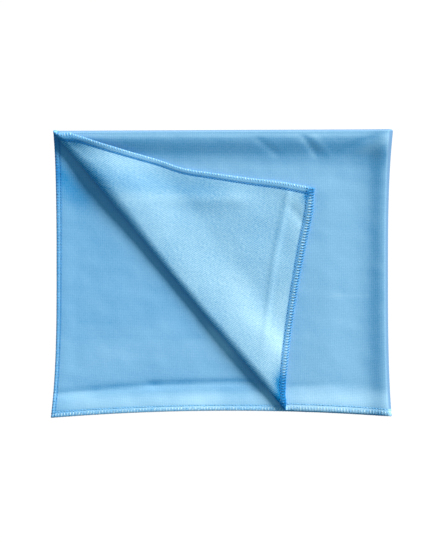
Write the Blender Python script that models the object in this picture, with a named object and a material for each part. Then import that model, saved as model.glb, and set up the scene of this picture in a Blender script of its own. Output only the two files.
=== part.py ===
"""Microfibre cloth, folded in quarters, with the top layer's free corner turned back.

The flat cloth runs along a (its length) and b (its width). Three folds lay it down:

1. the far half of the width is folded over the near half, at the pack's top edge;
2. the right half of that is folded over the left half, at the pack's right edge, which makes
   four layers: quarters 4 and 3 below, 2 and 1 above;
3. quarter 1, the top one, has its free corner turned back over it along a slanting crease.

Each fold is a map from the shape before it to the shape after it, and it takes the height off
the sheet along. The cloth's middle surface is the three maps one after the other, last fold
first, and the solid is that surface with half the thickness on each side.
Metres, +Z up, +X to the pack's right, +Y to its top. The origin is under the pack's middle.
"""

import math
from collections import namedtuple

import bpy
import numpy as np
from mathutils import Vector
from mathutils.geometry import delaunay_2d_cdt

MM = 0.001

# The cloth as cut and hemmed.
CLOTH_LENGTH = 600 * MM
CLOTH_WIDTH = 500 * MM
THICKNESS = 1.0 * MM
HEM_WIDTH = 6.0 * MM
HEM_SWELL = 0.12 * MM  # what the stitched hem adds to each face
HEM_THINS = (0.7, 1.3)  # the shares of the hem's width between which it thins to the cloth
STACK_THINS = (1.0, 1.8)  # the same where several hems lie on each other
LAYERS = 4

# The pack as it lies. The edges are those of the middle of each side; the corners reach further.
PACK_LEFT = -147.1 * MM
PACK_RIGHT = 146.7 * MM
PACK_TOP = 126.0 * MM
PACK_BOTTOM = -122.0 * MM
CORNER_REACH = {
    "top_left": 2.7 * MM,
    "top_right": 4.5 * MM,
    "bottom_left": 4.4 * MM,
    "bottom_right": 3.6 * MM,
}
BOTTOM_SAG = 5.3 * MM  # how far the bottom corners hang below the middle of the bottom edge
BOTTOM_SAG_MIDDLE = 7 * MM  # the X at which the bottom edge is highest
CORNER_POWER = 3  # how sharply the side edges turn out to the corners
SAG_POWER = 1.5  # how fast the sag dies out from the bottom edge up
LAYER_PITCH = 1.6 * MM  # from one layer's middle to the next where they lie flat

# How much shorter than quarter 2 each other quarter lies, at its two hems.
SIDE_TRIM = {1: 0.0 * MM, 2: 0.0 * MM, 3: 1.3 * MM, 4: 0.6 * MM}
BOTTOM_TRIM = {1: 1.2 * MM, 2: 0.3 * MM, 3: 1.0 * MM, 4: 0.0 * MM}

# The fold at the top edge: a round roll, which flattens away from the edge. The share runs from
# the pack's right edge to its left one.
TOP_ROLL_RADIUS = 1.65 * MM
TOP_COLUMNS = ("share", "fade")
TOP_SECTIONS = (
    (0.00, 9 * MM),
    (0.10, 11 * MM),
    (0.25, 18 * MM),
    (0.60, 20 * MM),
    (0.85, 15 * MM),
    (1.00, 12 * MM),
)
TOP_DEPTH = 20 * MM  # the widest of those

# The fold at the right edge: the inner turn is open, and the upper layers come down behind it.
SIDE_INNER_RADIUS = 2.2 * MM
SIDE_INNER_RADIUS_TOP = 1.3 * MM  # at the top corner, where the roll of the first fold is wrapped
SIDE_FADE = 15 * MM
REST_STARTS = (0.3, 1.5)  # the shares of a fold's fade over which the loose layers' rest starts

# The turned back corner, by points of the pack's plan. The crease runs from the left hem to the
# bottom hem of quarter 1.
CREASE_START = (PACK_LEFT, 124.6 * MM)
CREASE_FOOT = (57.5 * MM, PACK_BOTTOM + BOTTOM_TRIM[1])
FREE_CORNER = (82.3 * MM, 74.8 * MM)
CREASE_TIP_RADIUS = 1.1 * MM
CREASE_TIP_ANGLE = math.radians(60)
CREASE_FADE = 34 * MM  # from the crown of the crease to where the flap lies flat
FLAP_RISE = 2.1 * MM  # from the layer under the flap to the flap's middle
BOW_DEPTH = 60 * MM  # how deep the crease's own bow reaches into the layers beside it
INSET_DEPTH = 80 * MM  # how deep the bow of a flap's hem reaches into the flap
INSET_START = 16 * MM  # the flap's depth from which its hem bows in full

# The crease from its start to its foot: half its height, and how far it bows outwards.
CREASE_COLUMNS = ("share", "half_height", "bow")
CreaseSection = namedtuple("CreaseSection", ("half", "tip", "shoulder", "reach", "quarter"))
CREASE_SECTIONS = (
    (0.00, 0.90 * MM, 0.0 * MM),
    (0.10, 2.20 * MM, 0.1 * MM),
    (0.25, 3.00 * MM, 0.5 * MM),
    (0.50, 2.80 * MM, 1.6 * MM),
    (0.75, 2.50 * MM, 1.9 * MM),
    (0.92, 1.90 * MM, 0.5 * MM),
    (1.00, 1.30 * MM, 0.0 * MM),
)

# The flap's two hems: how far each lies inside the straight line between its ends.
HEM_COLUMNS = ("share", "inset")
FLAP_TOP_HEM = (
    (0.00, 0.0 * MM),
    (0.12, -1.9 * MM),
    (0.25, -1.8 * MM),
    (0.37, 3.4 * MM),
    (0.50, 6.2 * MM),
    (0.75, 3.0 * MM),
    (0.90, 0.9 * MM),
    (1.00, 0.0 * MM),
)
FLAP_RIGHT_HEM = (
    (0.00, 0.0 * MM),
    (0.10, -1.5 * MM),
    (0.25, 0.8 * MM),
    (0.50, 3.5 * MM),
    (0.80, 3.9 * MM),
    (0.92, 3.4 * MM),
    (1.00, 0.0 * MM),
)

# Soft lines pressed or raised in the cloth, from end to end, in the pack's plan.
LINE_COLUMNS = ("x0", "y0", "x1", "y1", "half_width", "height")
PACK_REST = 1.0 * MM  # how far the two upper layers stand off the lower ones between the lines
PACK_LINES = (
    (-141 * MM, -101 * MM, 22 * MM, -92 * MM, 5.0 * MM, -0.95 * MM),
    (60 * MM, -96 * MM, 126 * MM, -92 * MM, 5.0 * MM, -0.50 * MM),
    (-130 * MM, -113 * MM, 30 * MM, -107 * MM, 7.0 * MM, 0.50 * MM),
    (-60 * MM, -62 * MM, -90 * MM, -84 * MM, 14.0 * MM, 0.50 * MM),
    (128 * MM, 112 * MM, 146 * MM, 124 * MM, 5.0 * MM, 0.60 * MM),
)
FLAP_LINES = (
    (-100 * MM, 67 * MM, 14 * MM, 66 * MM, 7.0 * MM, 0.90 * MM),
    (-98 * MM, 92 * MM, 40 * MM, 70 * MM, 8.0 * MM, -0.50 * MM),
    (58 * MM, 70 * MM, 46 * MM, 12 * MM, 3.0 * MM, 0.90 * MM),
    (46 * MM, 12 * MM, 36 * MM, -68 * MM, 3.0 * MM, 0.90 * MM),
    (66 * MM, 54 * MM, 74 * MM, 48 * MM, 4.0 * MM, -0.60 * MM),
    (26 * MM, -50 * MM, 48 * MM, -70 * MM, 12.0 * MM, 1.00 * MM),
)

# Spacing of the mesh.
TURN_STEPS = 3  # facets in each quarter turn of a fold
CREASE_STEPS = 22  # facets along the crease
BEND_ROWS = tuple(d * MM for d in (4, 9, 16))  # rows just past a fold's turn
CREASE_ROWS = tuple(d * MM for d in (5, 12, 22, 34))  # rows past the crease's turn, on the flap
FRONT_ROW = 4 * MM  # a row in front of the crease's turn
FRONT_START = 3  # the facet of the crease at which that row starts
ROW_ENDS = 0.25  # the share of the crease at each end over which its rows draw together,
ROW_CLOSEST = 0.08  # down to this share of their width
ROW_CROWDING = 0.5  # how much closer the facets are at the crease's ends
ROW_PASSES = 20  # passes that find where a row meets the hems
UPPER_SPACING = 17 * MM
LOWER_SPACING = 40 * MM
SLOPE_STEP = 0.05 * MM  # for the surface's normals
SAME_POINT = 1e-4 * MM

CLOTH_COLOUR = (0.27, 0.54, 0.82, 1.0)
CLOTH_ROUGHNESS = 0.9


# --- small tools -----------------------------------------------------------------------------


def ease(value, start, end):
    """0 up to start and 1 from end on, with a smooth run between."""
    share = np.clip((value - start) / (end - start), 0.0, 1.0)
    return share * share * (3.0 - 2.0 * share)


def column(table, names, name):
    """One named column of a table."""
    return np.array([row[names.index(name)] for row in table])


def along(table, names, name, share):
    """A table's column as a smooth curve over its share column."""
    knots = column(table, names, "share")
    values = column(table, names, name)
    slopes = np.gradient(values, knots)
    share = np.clip(share, knots[0], knots[-1])
    left = np.clip(np.searchsorted(knots, share, side="right") - 1, 0, len(knots) - 2)
    run = knots[left + 1] - knots[left]
    t = (share - knots[left]) / run
    rise = values[left] * (2 * t**3 - 3 * t**2 + 1) + values[left + 1] * (3 * t**2 - 2 * t**3)
    return rise + run * (slopes[left] * (t**3 - 2 * t**2 + t) + slopes[left + 1] * (t**3 - t**2))


def soft_lines(table, x, y):
    """The summed heights of soft lines, each a round ridge or trough that fades at its ends."""
    total = np.zeros_like(x)
    for row in table:
        line = dict(zip(LINE_COLUMNS, row))
        run_x, run_y = line["x1"] - line["x0"], line["y1"] - line["y0"]
        length = math.hypot(run_x, run_y)
        from_x, from_y = x - line["x0"], y - line["y0"]
        way = (from_x * run_x + from_y * run_y) / length
        across = (from_y * run_x - from_x * run_y) / length
        past = np.maximum(0.0, np.maximum(-way, way - length))
        width = line["half_width"]
        total += line["height"] * np.exp(-((across / width) ** 2) - (past / (2 * width)) ** 2)
    return total


# --- first fold, at the top edge -------------------------------------------------------------

TOP_AXIS = PACK_TOP - THICKNESS / 2 - TOP_ROLL_RADIUS
TOP_TURN = TOP_ROLL_RADIUS * math.pi / 2
PLAN_SCALE_Y = (TOP_AXIS - PACK_BOTTOM) / (CLOTH_WIDTH / 2 - TOP_TURN)


def upper_height(u, y):
    """Height of the folded-over half above the near half, at a place behind the top edge."""
    fade = along(TOP_SECTIONS, TOP_COLUMNS, "fade", u / (CLOTH_LENGTH / 2))
    flat = ease((TOP_AXIS - y) / fade, 0.0, 1.0)
    return 2 * TOP_ROLL_RADIUS + (LAYER_PITCH - 2 * TOP_ROLL_RADIUS) * flat


def fold_top(u, v, far, rise):
    """Fold at the top edge: v is the way from the fold, far is True on the half folded over.

    The result is y and the height over the near half. The rise is the way off the sheet, outwards.
    """
    angle = np.minimum(v, TOP_TURN) / TOP_ROLL_RADIUS
    radius = TOP_ROLL_RADIUS + rise
    side = np.where(far, 1.0, -1.0)
    turned = v < TOP_TURN
    y = np.where(
        turned, TOP_AXIS + radius * np.cos(angle), TOP_AXIS - (v - TOP_TURN) * PLAN_SCALE_Y
    )
    flat_height = np.where(far, upper_height(u, y) + rise, -rise)
    height = np.where(turned, TOP_ROLL_RADIUS + side * radius * np.sin(angle), flat_height)
    return y, height


# --- second fold, at the right edge ----------------------------------------------------------


def side_radii(y):
    """Outer and inner radius of the turn at the right edge, for a place along it."""
    near_top = ease(y, TOP_AXIS - TOP_DEPTH, TOP_AXIS)
    inner = SIDE_INNER_RADIUS + (SIDE_INNER_RADIUS_TOP - SIDE_INNER_RADIUS) * near_top
    return inner + upper_height(0.0, y), inner


def fold_side(u, over, y, height):
    """Fold at the right edge: u is the way from the fold, over is True on the half folded over.

    Behind the turn the layers folded over come down until they lie on the lower ones.
    """
    outer, inner = side_radii(y)
    axis = side_axis(outer)
    mean = (outer + inner) / 2
    turn = mean * math.pi / 2
    angle = np.minimum(u, turn) / mean
    radius = outer - height
    side = np.where(over, 1.0, -1.0)
    scale = (axis - PACK_LEFT) / (CLOTH_LENGTH / 2 - turn)
    x = np.where(u < turn, axis + radius * np.cos(angle), axis - (u - turn) * scale)
    drop = (2 * (outer - upper_height(u, y)) - LAYER_PITCH) * ease(u - turn, 0.0, SIDE_FADE)
    return x, outer + side * radius * np.sin(angle) - np.where(over, drop, 0.0)


def side_axis(outer):
    """The X of the turn's axis at the right edge, for its outer radius."""
    return PACK_RIGHT - THICKNESS / 2 - outer


# --- third fold, the corner turned back ------------------------------------------------------

MIDDLE_OUTER, MIDDLE_INNER = (float(radius) for radius in side_radii(0.0))
SIDE_TURN = (MIDDLE_OUTER + MIDDLE_INNER) / 2 * math.pi / 2
PLAN_SCALE_X = (side_axis(MIDDLE_OUTER) - PACK_LEFT) / (CLOTH_LENGTH / 2 - SIDE_TURN)
CREASE_RUN = math.hypot(CREASE_FOOT[0] - CREASE_START[0], CREASE_FOOT[1] - CREASE_START[1])
CREASE_WAY = (
    (CREASE_FOOT[0] - CREASE_START[0]) / CREASE_RUN,
    (CREASE_FOOT[1] - CREASE_START[1]) / CREASE_RUN,
)


def plan_of(u, v):
    """Where a point of quarter 1 would lie in the pack's plan without the third fold."""
    x = PACK_LEFT + (CLOTH_LENGTH / 2 - u) * PLAN_SCALE_X
    y = PACK_BOTTOM + (CLOTH_WIDTH / 2 - v) * PLAN_SCALE_Y
    return x, y


def cloth_of(x, y):
    """The inverse of plan_of."""
    u = CLOTH_LENGTH / 2 - (x - PACK_LEFT) / PLAN_SCALE_X
    v = CLOTH_WIDTH / 2 - (y - PACK_BOTTOM) / PLAN_SCALE_Y
    return u, v


def crease_frame(x, y):
    """The way along the crease, and the way from it into the pack."""
    dx, dy = x - CREASE_START[0], y - CREASE_START[1]
    return dx * CREASE_WAY[0] + dy * CREASE_WAY[1], dy * CREASE_WAY[0] - dx * CREASE_WAY[1]


def plan_of_crease_frame(s, q):
    """The inverse of crease_frame."""
    x = CREASE_START[0] + s * CREASE_WAY[0] - q * CREASE_WAY[1]
    y = CREASE_START[1] + s * CREASE_WAY[1] + q * CREASE_WAY[0]
    return x, y


def crease_section(s):
    """The crease's turn at a place along it: a small arc round the tip, then a wide one.

    It gives half the turn's height, the radii of the two arcs, how far the tip stands out from
    the crown, and the cloth's length from the tip to the crown.
    """
    half = along(CREASE_SECTIONS, CREASE_COLUMNS, "half_height", s / CREASE_RUN)
    tip = np.minimum(CREASE_TIP_RADIUS, half)
    sine, cosine = math.sin(CREASE_TIP_ANGLE), math.cos(CREASE_TIP_ANGLE)
    shoulder = (half - tip * sine) / (1 - sine)
    reach = tip * (1 - cosine) + shoulder * cosine
    quarter = tip * CREASE_TIP_ANGLE + shoulder * (math.pi / 2 - CREASE_TIP_ANGLE)
    return CreaseSection(half, tip, shoulder, reach, quarter)


def crease_turn(path, section):
    """Reach and climb from the crease's tip after some way along the cloth."""
    tip, shoulder = section.tip, section.shoulder
    bend = tip * CREASE_TIP_ANGLE
    angle = np.where(path < bend, path / tip, CREASE_TIP_ANGLE + (path - bend) / shoulder)
    sine, cosine = math.sin(CREASE_TIP_ANGLE), math.cos(CREASE_TIP_ANGLE)
    reach = np.where(
        path < bend,
        tip * (1 - np.cos(angle)),
        tip * (1 - cosine) + shoulder * (cosine - np.cos(angle)),
    )
    climb = np.where(
        path < bend,
        tip * np.sin(angle),
        tip * sine + shoulder * (np.sin(angle) - sine),
    )
    return reach, climb


def flap_plan(x, y, s, depth):
    """Plan of the flap, from its flat plan, as the way along the crease and the way from it.

    The flap's free corner goes to its own place, and the two hems take their inset from a
    straight line, which fades towards the crease.
    """
    corner_s, corner_q = crease_frame(PACK_LEFT, CREASE_FOOT[1])
    target_s, target_q = crease_frame(*FREE_CORNER)
    at_corner = crease_section(corner_s)
    share = depth / (at_corner.reach - corner_q - 2 * at_corner.quarter)
    q = crease_section(s).reach + (target_q - at_corner.reach) * share
    along_crease = s + (target_s - corner_s) * share

    right_share = np.clip((x - PACK_LEFT) / (CREASE_FOOT[0] - PACK_LEFT), 0.0, 1.0)
    top_share = np.clip((y - CREASE_FOOT[1]) / (CREASE_START[1] - CREASE_FOOT[1]), 0.0, 1.0)
    start = ease(depth, 0.0, INSET_START)
    near_top = start * np.clip(1 - (x - PACK_LEFT) / INSET_DEPTH, 0.0, 1.0) ** 2
    near_right = start * np.clip(1 - (y - CREASE_FOOT[1]) / INSET_DEPTH, 0.0, 1.0) ** 2
    top_inset = along(FLAP_TOP_HEM, HEM_COLUMNS, "inset", 1 - top_share) * near_top
    right_inset = along(FLAP_RIGHT_HEM, HEM_COLUMNS, "inset", right_share) * near_right
    top_way = np.array(FREE_CORNER) - np.array(CREASE_START)
    right_way = np.array(CREASE_FOOT) - np.array(FREE_CORNER)
    for way, inset in ((top_way, top_inset), (right_way, right_inset)):
        inward = np.array([way[1], -way[0]]) / math.hypot(*way)
        along_crease = along_crease + inset * (inward[0] * CREASE_WAY[0] + inward[1] * CREASE_WAY[1])
        q = q + inset * (inward[1] * CREASE_WAY[0] - inward[0] * CREASE_WAY[1])
    return along_crease, q


def fold_corner(u, v):
    """Turn the free corner of quarter 1 back: new u and v, and the rise off the quarter's sheet."""
    x, y = plan_of(u, v)
    s, q = crease_frame(x, y)
    section = crease_section(s)
    half, quarter = section.half, section.quarter
    past = section.reach - q
    turn_reach, climb = crease_turn(np.minimum(np.abs(past - quarter), quarter), section)
    depth = np.maximum(0.0, past - 2 * quarter)
    flap_s, flap_q = flap_plan(x, y, s, depth)

    in_turn = (past > 0) & (depth <= 0)
    in_flap = depth > 0
    new_s = np.where(in_flap, flap_s, s)
    new_q = np.where(in_flap, flap_q, np.where(in_turn, turn_reach, q))
    flat_x, flat_y = plan_of_crease_frame(new_s, new_q)
    fade = ease(flap_q - section.reach, 0.0, CREASE_FADE)
    relief = soft_lines(FLAP_LINES, flat_x, flat_y) + HEM_SWELL * hem_stack_share(x, y)
    flap_rise = 2 * half + (FLAP_RISE - 2 * half) * fade + relief * fade
    turn_rise = np.where(past < quarter, half - climb, half + climb)
    rise = np.where(in_flap, flap_rise, np.where(in_turn, turn_rise, 0.0))

    bow = along(CREASE_SECTIONS, CREASE_COLUMNS, "bow", new_s / CREASE_RUN)
    new_q = new_q - bow * (1 - ease(new_q, 0.0, BOW_DEPTH))
    new_u, new_v = cloth_of(*plan_of_crease_frame(new_s, new_q))
    return new_u, new_v, rise


# --- the whole cloth -------------------------------------------------------------------------


def hem_share(inside):
    """1 at a hem's edge and 0 a little past its width, for the way in from the edge."""
    return 1 - ease(inside, HEM_WIDTH * HEM_THINS[0], HEM_WIDTH * HEM_THINS[1])


def hem_stack_share(x, y):
    """1 where the pack's hems lie on each other, at its left and bottom edges, and 0 inside."""
    inside = np.minimum(x - PACK_LEFT, y - PACK_BOTTOM)
    return 1 - ease(inside, HEM_WIDTH * STACK_THINS[0], HEM_WIDTH * STACK_THINS[1])


def pincushion(x, y):
    """Draw the straight-sided pack out to its corners."""
    half_height = (PACK_TOP - PACK_BOTTOM) / 2
    level = (y - (PACK_TOP + PACK_BOTTOM) / 2) / half_height
    upper = np.clip(level, 0.0, None) ** CORNER_POWER
    lower = np.clip(-level, 0.0, None) ** CORNER_POWER
    left = CORNER_REACH["top_left"] * upper + CORNER_REACH["bottom_left"] * lower
    right = CORNER_REACH["top_right"] * upper + CORNER_REACH["bottom_right"] * lower
    across = (x - PACK_LEFT) / (PACK_RIGHT - PACK_LEFT)
    sag_share = ((x - BOTTOM_SAG_MIDDLE) / (PACK_RIGHT - BOTTOM_SAG_MIDDLE)) ** 2
    fall = np.clip((PACK_TOP - y) / (PACK_TOP - PACK_BOTTOM), 0.0, None) ** SAG_POWER
    return x - left * (1 - across) + right * across, y - BOTTOM_SAG * sag_share * fall


def trimmed(a, b):
    """The way from each fold, with each quarter's hems drawn in by its own trim."""
    over = ease(a, CLOTH_LENGTH / 2 - UPPER_SPACING, CLOTH_LENGTH / 2 + UPPER_SPACING)
    far = ease(b, CLOTH_WIDTH / 2 - UPPER_SPACING, CLOTH_WIDTH / 2 + UPPER_SPACING)
    weights = {1: over * (1 - far), 2: over * far, 3: (1 - over) * far, 4: (1 - over) * (1 - far)}
    side = sum(weights[k] * SIDE_TRIM[k] for k in weights)
    bottom = sum(weights[k] * BOTTOM_TRIM[k] for k in weights)
    u = np.abs(a - CLOTH_LENGTH / 2) * (1 - side / (CLOTH_LENGTH / 2))
    v = np.abs(b - CLOTH_WIDTH / 2) * (1 - bottom / (CLOTH_WIDTH / 2))
    return u, v


def cloth_surface(a, b):
    """The cloth's middle surface: an (n, 3) array of places for n places on the flat cloth."""
    over, far = a > CLOTH_LENGTH / 2, b > CLOTH_WIDTH / 2
    u, v = trimmed(a, b)
    turned_u, turned_v, rise = fold_corner(u, v)
    top_quarter = over & ~far
    u = np.where(top_quarter, turned_u, u)
    v = np.where(top_quarter, turned_v, v)
    rise = np.where(top_quarter, rise, 0.0)
    y, height = fold_top(u, v, far, rise)
    x, z = fold_side(u, over, y, height)

    lift = np.maximum(PACK_REST + soft_lines(PACK_LINES, x, y), 0.0)
    for inside, fade in ((PACK_RIGHT - x, SIDE_FADE), (PACK_TOP - y, TOP_DEPTH)):
        lift = lift * ease(inside, fade * REST_STARTS[0], fade * REST_STARTS[1])
    z = z + lift * np.clip(z / LAYER_PITCH - 1, 0.0, 1.0)
    layers_below = np.clip(z / LAYER_PITCH, 0.0, LAYERS - 1)
    z = z + HEM_SWELL * hem_stack_share(x, y) * (1 + 2 * layers_below)
    x, y = pincushion(x, y)
    return np.column_stack((x, y, z + THICKNESS / 2))


def hem_swell(a, b):
    """How much thicker than the cloth each face is here."""
    inside = np.minimum(
        np.minimum(a, CLOTH_LENGTH - a),
        np.minimum(b, CLOTH_WIDTH - b),
    )
    return HEM_SWELL * hem_share(inside)


def normals(a, b):
    """Unit normals of the middle surface, by central differences."""
    step = SLOPE_STEP
    along_a = cloth_surface(a + step, b) - cloth_surface(a - step, b)
    along_b = cloth_surface(a, b + step) - cloth_surface(a, b - step)
    cross = np.cross(along_a, along_b)
    return cross / np.linalg.norm(cross, axis=1, keepdims=True)


# --- mesh ------------------------------------------------------------------------------------


def stations(half, turn, lower_spacing, upper_spacing):
    """Places of the mesh's rows across a fold in the middle of the cloth."""
    rows = [turn * i / TURN_STEPS for i in range(1, TURN_STEPS + 1)]
    rows += [turn + d for d in BEND_ROWS]
    places = [half]
    for spacing, sign in ((lower_spacing, -1), (upper_spacing, 1)):
        start = rows[-1]
        inner_end = half - HEM_WIDTH * HEM_THINS[1]
        count = math.ceil((inner_end - start) / spacing)
        side = rows + [start + (inner_end - start) * i / count for i in range(1, count + 1)]
        side += [half - HEM_WIDTH * HEM_THINS[0], half]
        places += [half + sign * d for d in side]
    return sorted(places)


def crease_row(offset_of):
    """Places on the flat cloth along the crease, at an offset into the pack for each place.

    The row starts on the left hem and ends on the bottom hem.
    """
    start, end = 0.0, CREASE_RUN
    for _ in range(ROW_PASSES):
        start = float(offset_of(np.array([start]))[0]) * CREASE_WAY[1] / CREASE_WAY[0]
        q = float(offset_of(np.array([end]))[0])
        end = (CREASE_FOOT[1] - CREASE_START[1] - q * CREASE_WAY[0]) / CREASE_WAY[1]
    even = np.linspace(0, 1, CREASE_STEPS + 1)
    crowded = (1 - np.cos(math.pi * even)) / 2
    s = start + (end - start) * (even + (crowded - even) * ROW_CROWDING)
    u, v = cloth_of(*plan_of_crease_frame(s, offset_of(s)))
    u = u / (1 - SIDE_TRIM[1] / (CLOTH_LENGTH / 2))
    v = v / (1 - BOTTOM_TRIM[1] / (CLOTH_WIDTH / 2))
    a, b = CLOTH_LENGTH / 2 + u, CLOTH_WIDTH / 2 - v
    a[0], b[-1] = CLOTH_LENGTH, 0.0
    return a, b


def row_offset(s, turn_share, way):
    """Way into the pack of a row at a share of the crease's turn, or some way past its end."""
    section = crease_section(s)
    ends = np.minimum(s, CREASE_RUN - s) / (CREASE_RUN * ROW_ENDS)
    return section.reach - 2 * section.quarter * turn_share - way * np.clip(ends, ROW_CLOSEST, 1.0)


def crease_rows():
    """The rows of places in and beside the crease's turn."""
    shares = [i / (2 * TURN_STEPS) for i in range(2 * TURN_STEPS + 1)]
    rows = [crease_row(lambda s, share=share: row_offset(s, share, 0.0)) for share in shares]
    rows += [crease_row(lambda s, way=way: row_offset(s, 1.0, way)) for way in CREASE_ROWS]
    front_a, front_b = crease_row(lambda s: crease_section(s).reach + FRONT_ROW)
    return rows + [(front_a[FRONT_START:], front_b[FRONT_START:])]


def near_crease(a, b):
    """True for places that the crease's own rows cover."""
    x, y = plan_of(*trimmed(a, b))
    s, q = crease_frame(x, y)
    low = row_offset(s, 1.0, CREASE_ROWS[-1] + UPPER_SPACING / 3)
    has_front_row = s > CREASE_RUN * FRONT_START / CREASE_STEPS
    high = crease_section(s).reach + np.where(has_front_row, 2 * FRONT_ROW, FRONT_ROW / 4)
    return (a > CLOTH_LENGTH / 2) & (b < CLOTH_WIDTH / 2) & (q > low) & (q < high)


def flat_mesh():
    """Places and triangles of the flat cloth: a grid, with rows of its own along the crease."""
    a_rows = stations(CLOTH_LENGTH / 2, SIDE_TURN, LOWER_SPACING, UPPER_SPACING)
    b_rows = stations(CLOTH_WIDTH / 2, TOP_TURN, UPPER_SPACING, UPPER_SPACING)
    grid_a, grid_b = (g.ravel() for g in np.meshgrid(a_rows, b_rows))
    keep = ~near_crease(grid_a, grid_b)
    points = list(zip(grid_a[keep], grid_b[keep]))
    ties = []
    for row_a, row_b in crease_rows():
        first = len(points)
        points += list(zip(row_a, row_b))
        ties += [(i, i + 1) for i in range(first, len(points) - 1)]
    flat = [Vector((float(a), float(b))) for a, b in points]
    places, _, faces, *_ = delaunay_2d_cdt(flat, ties, [], 0, SAME_POINT)
    return np.array([(p.x, p.y) for p in places]), np.array(faces)


def rim_of(triangles):
    """The directed edges that belong to one triangle only."""
    edges = np.concatenate([triangles[:, (0, 1)], triangles[:, (1, 2)], triangles[:, (2, 0)]])
    known = set(map(tuple, edges.tolist()))
    return [edge for edge in known if (edge[1], edge[0]) not in known]


def closed_sheet():
    """Places and faces of the cloth as one closed solid, centred over the origin."""
    places, triangles = flat_mesh()
    a, b = places[:, 0], places[:, 1]
    middle, normal = cloth_surface(a, b), normals(a, b)
    half = (THICKNESS / 2 + hem_swell(a, b))[:, None]
    points = np.concatenate([middle + normal * half, middle - normal * half])
    points[:, :2] -= (points[:, :2].min(axis=0) + points[:, :2].max(axis=0)) / 2
    count = len(places)
    faces = triangles.tolist() + (triangles[:, ::-1] + count).tolist()
    for i, j in rim_of(triangles):
        faces += [(j, i, i + count), (j, i + count, j + count)]
    return points, faces


def cloth_material():
    """Light blue napped microfibre."""
    material = bpy.data.materials.new("microfibre")
    material.use_nodes = True
    shader = material.node_tree.nodes["Principled BSDF"]
    shader.inputs["Base Color"].default_value = CLOTH_COLOUR
    shader.inputs["Roughness"].default_value = CLOTH_ROUGHNESS
    shader.inputs["Metallic"].default_value = 0.0
    return material


def make_cloth():
    """The folded cloth as one object."""
    points, faces = closed_sheet()
    mesh = bpy.data.meshes.new("cloth")
    mesh.from_pydata(points.tolist(), [], faces)
    mesh.validate()
    mesh.shade_smooth()
    mesh.materials.append(cloth_material())
    cloth = bpy.data.objects.new("cloth", mesh)
    bpy.context.scene.collection.objects.link(cloth)
    return cloth


for old in list(bpy.data.objects):
    bpy.data.objects.remove(old)
make_cloth()
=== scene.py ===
"""Looks of a light blue microfibre cloth, folded in quarters with one corner turned back.

The cloth is one rectangle. Flat places on it are (a, b): a runs along its length and b along its
width. Three folds lay it down, and they are applied last fold first:

1. the far half of the width over the near half, at the pack's top edge (TopFold);
2. the right half over the left one, at the pack's right edge (SideFold);
3. the free corner of the topmost quarter turned back over it, along a slanting crease (CornerFold).

Everything is in metres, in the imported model's frame: +X to the pack's right, +Y to its top, +Z up.
"""

import logging
import math
from dataclasses import dataclass, field
from enum import Enum
from functools import reduce
from typing import Callable, Sequence, Union

import bpy
import numpy as np
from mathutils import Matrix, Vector
from mathutils.geometry import delaunay_2d_cdt


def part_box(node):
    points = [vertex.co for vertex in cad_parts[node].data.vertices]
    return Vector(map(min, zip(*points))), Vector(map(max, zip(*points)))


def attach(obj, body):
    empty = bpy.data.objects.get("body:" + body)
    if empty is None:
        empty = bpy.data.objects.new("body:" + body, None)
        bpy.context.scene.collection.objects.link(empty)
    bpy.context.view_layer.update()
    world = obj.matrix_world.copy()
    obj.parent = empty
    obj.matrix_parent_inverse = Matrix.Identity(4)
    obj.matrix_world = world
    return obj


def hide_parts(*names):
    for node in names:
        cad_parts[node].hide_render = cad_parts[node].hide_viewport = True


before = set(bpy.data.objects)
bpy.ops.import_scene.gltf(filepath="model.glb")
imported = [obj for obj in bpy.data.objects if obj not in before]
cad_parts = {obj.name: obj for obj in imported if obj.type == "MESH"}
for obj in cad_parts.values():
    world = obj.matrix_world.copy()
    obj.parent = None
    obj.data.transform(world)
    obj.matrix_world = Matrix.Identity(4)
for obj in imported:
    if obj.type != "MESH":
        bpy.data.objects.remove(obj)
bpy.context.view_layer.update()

MM = 0.001
TINY = 1e-12
FLAT_MAP = "flat_place"
PAINTED_SHADE_AND_TINTS = "painted_shade_and_tints"
RIM = "rim"
TONE = "tone"
NODE = "cloth"
TOP_TRIM = 1.2 * MM

Array = np.ndarray
Colour = tuple[float, float, float]
log = logging.getLogger("cloth")


class Side(Enum):
    """The two faces of the cloth. The value is the sign along the surface's normal."""

    INNER = 1
    OUTER = -1


class Edge(Enum):
    """The four edges of the open cloth, in the order in which they are sewn.

    Each value is the edge's start, as shares of the cloth's length and width, its direction, and its
    direction into the cloth.
    """

    NEAR = ((0, 0), (1, 0), (0, 1))
    END = ((1, 0), (0, 1), (-1, 0))
    FAR = ((0, 1), (1, 0), (0, -1))
    START = ((0, 0), (0, 1), (1, 0))

    @property
    def lengthwise(self) -> bool:
        """True for the two edges that run along the cloth's length."""
        return self in (Edge.NEAR, Edge.FAR)


class Quarter(Enum):
    """The four quarters of the folded cloth, from the top of the pack down."""

    TOP = 1
    SECOND = 2
    THIRD = 3
    BOTTOM = 4


# --- curves and lines ------------------------------------------------------------------------


def ease(value: Array, start: float, end: float) -> Array:
    """Run smoothly from 0 at start to 1 at end, with level ends."""
    share = np.clip((value - start) / (end - start), 0.0, 1.0)
    return share * share * (3.0 - 2.0 * share)


def unit(vectors: Array) -> Array:
    """Scale each row to length 1."""
    return vectors / np.maximum(np.linalg.norm(vectors, axis=1, keepdims=True), TINY)


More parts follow.
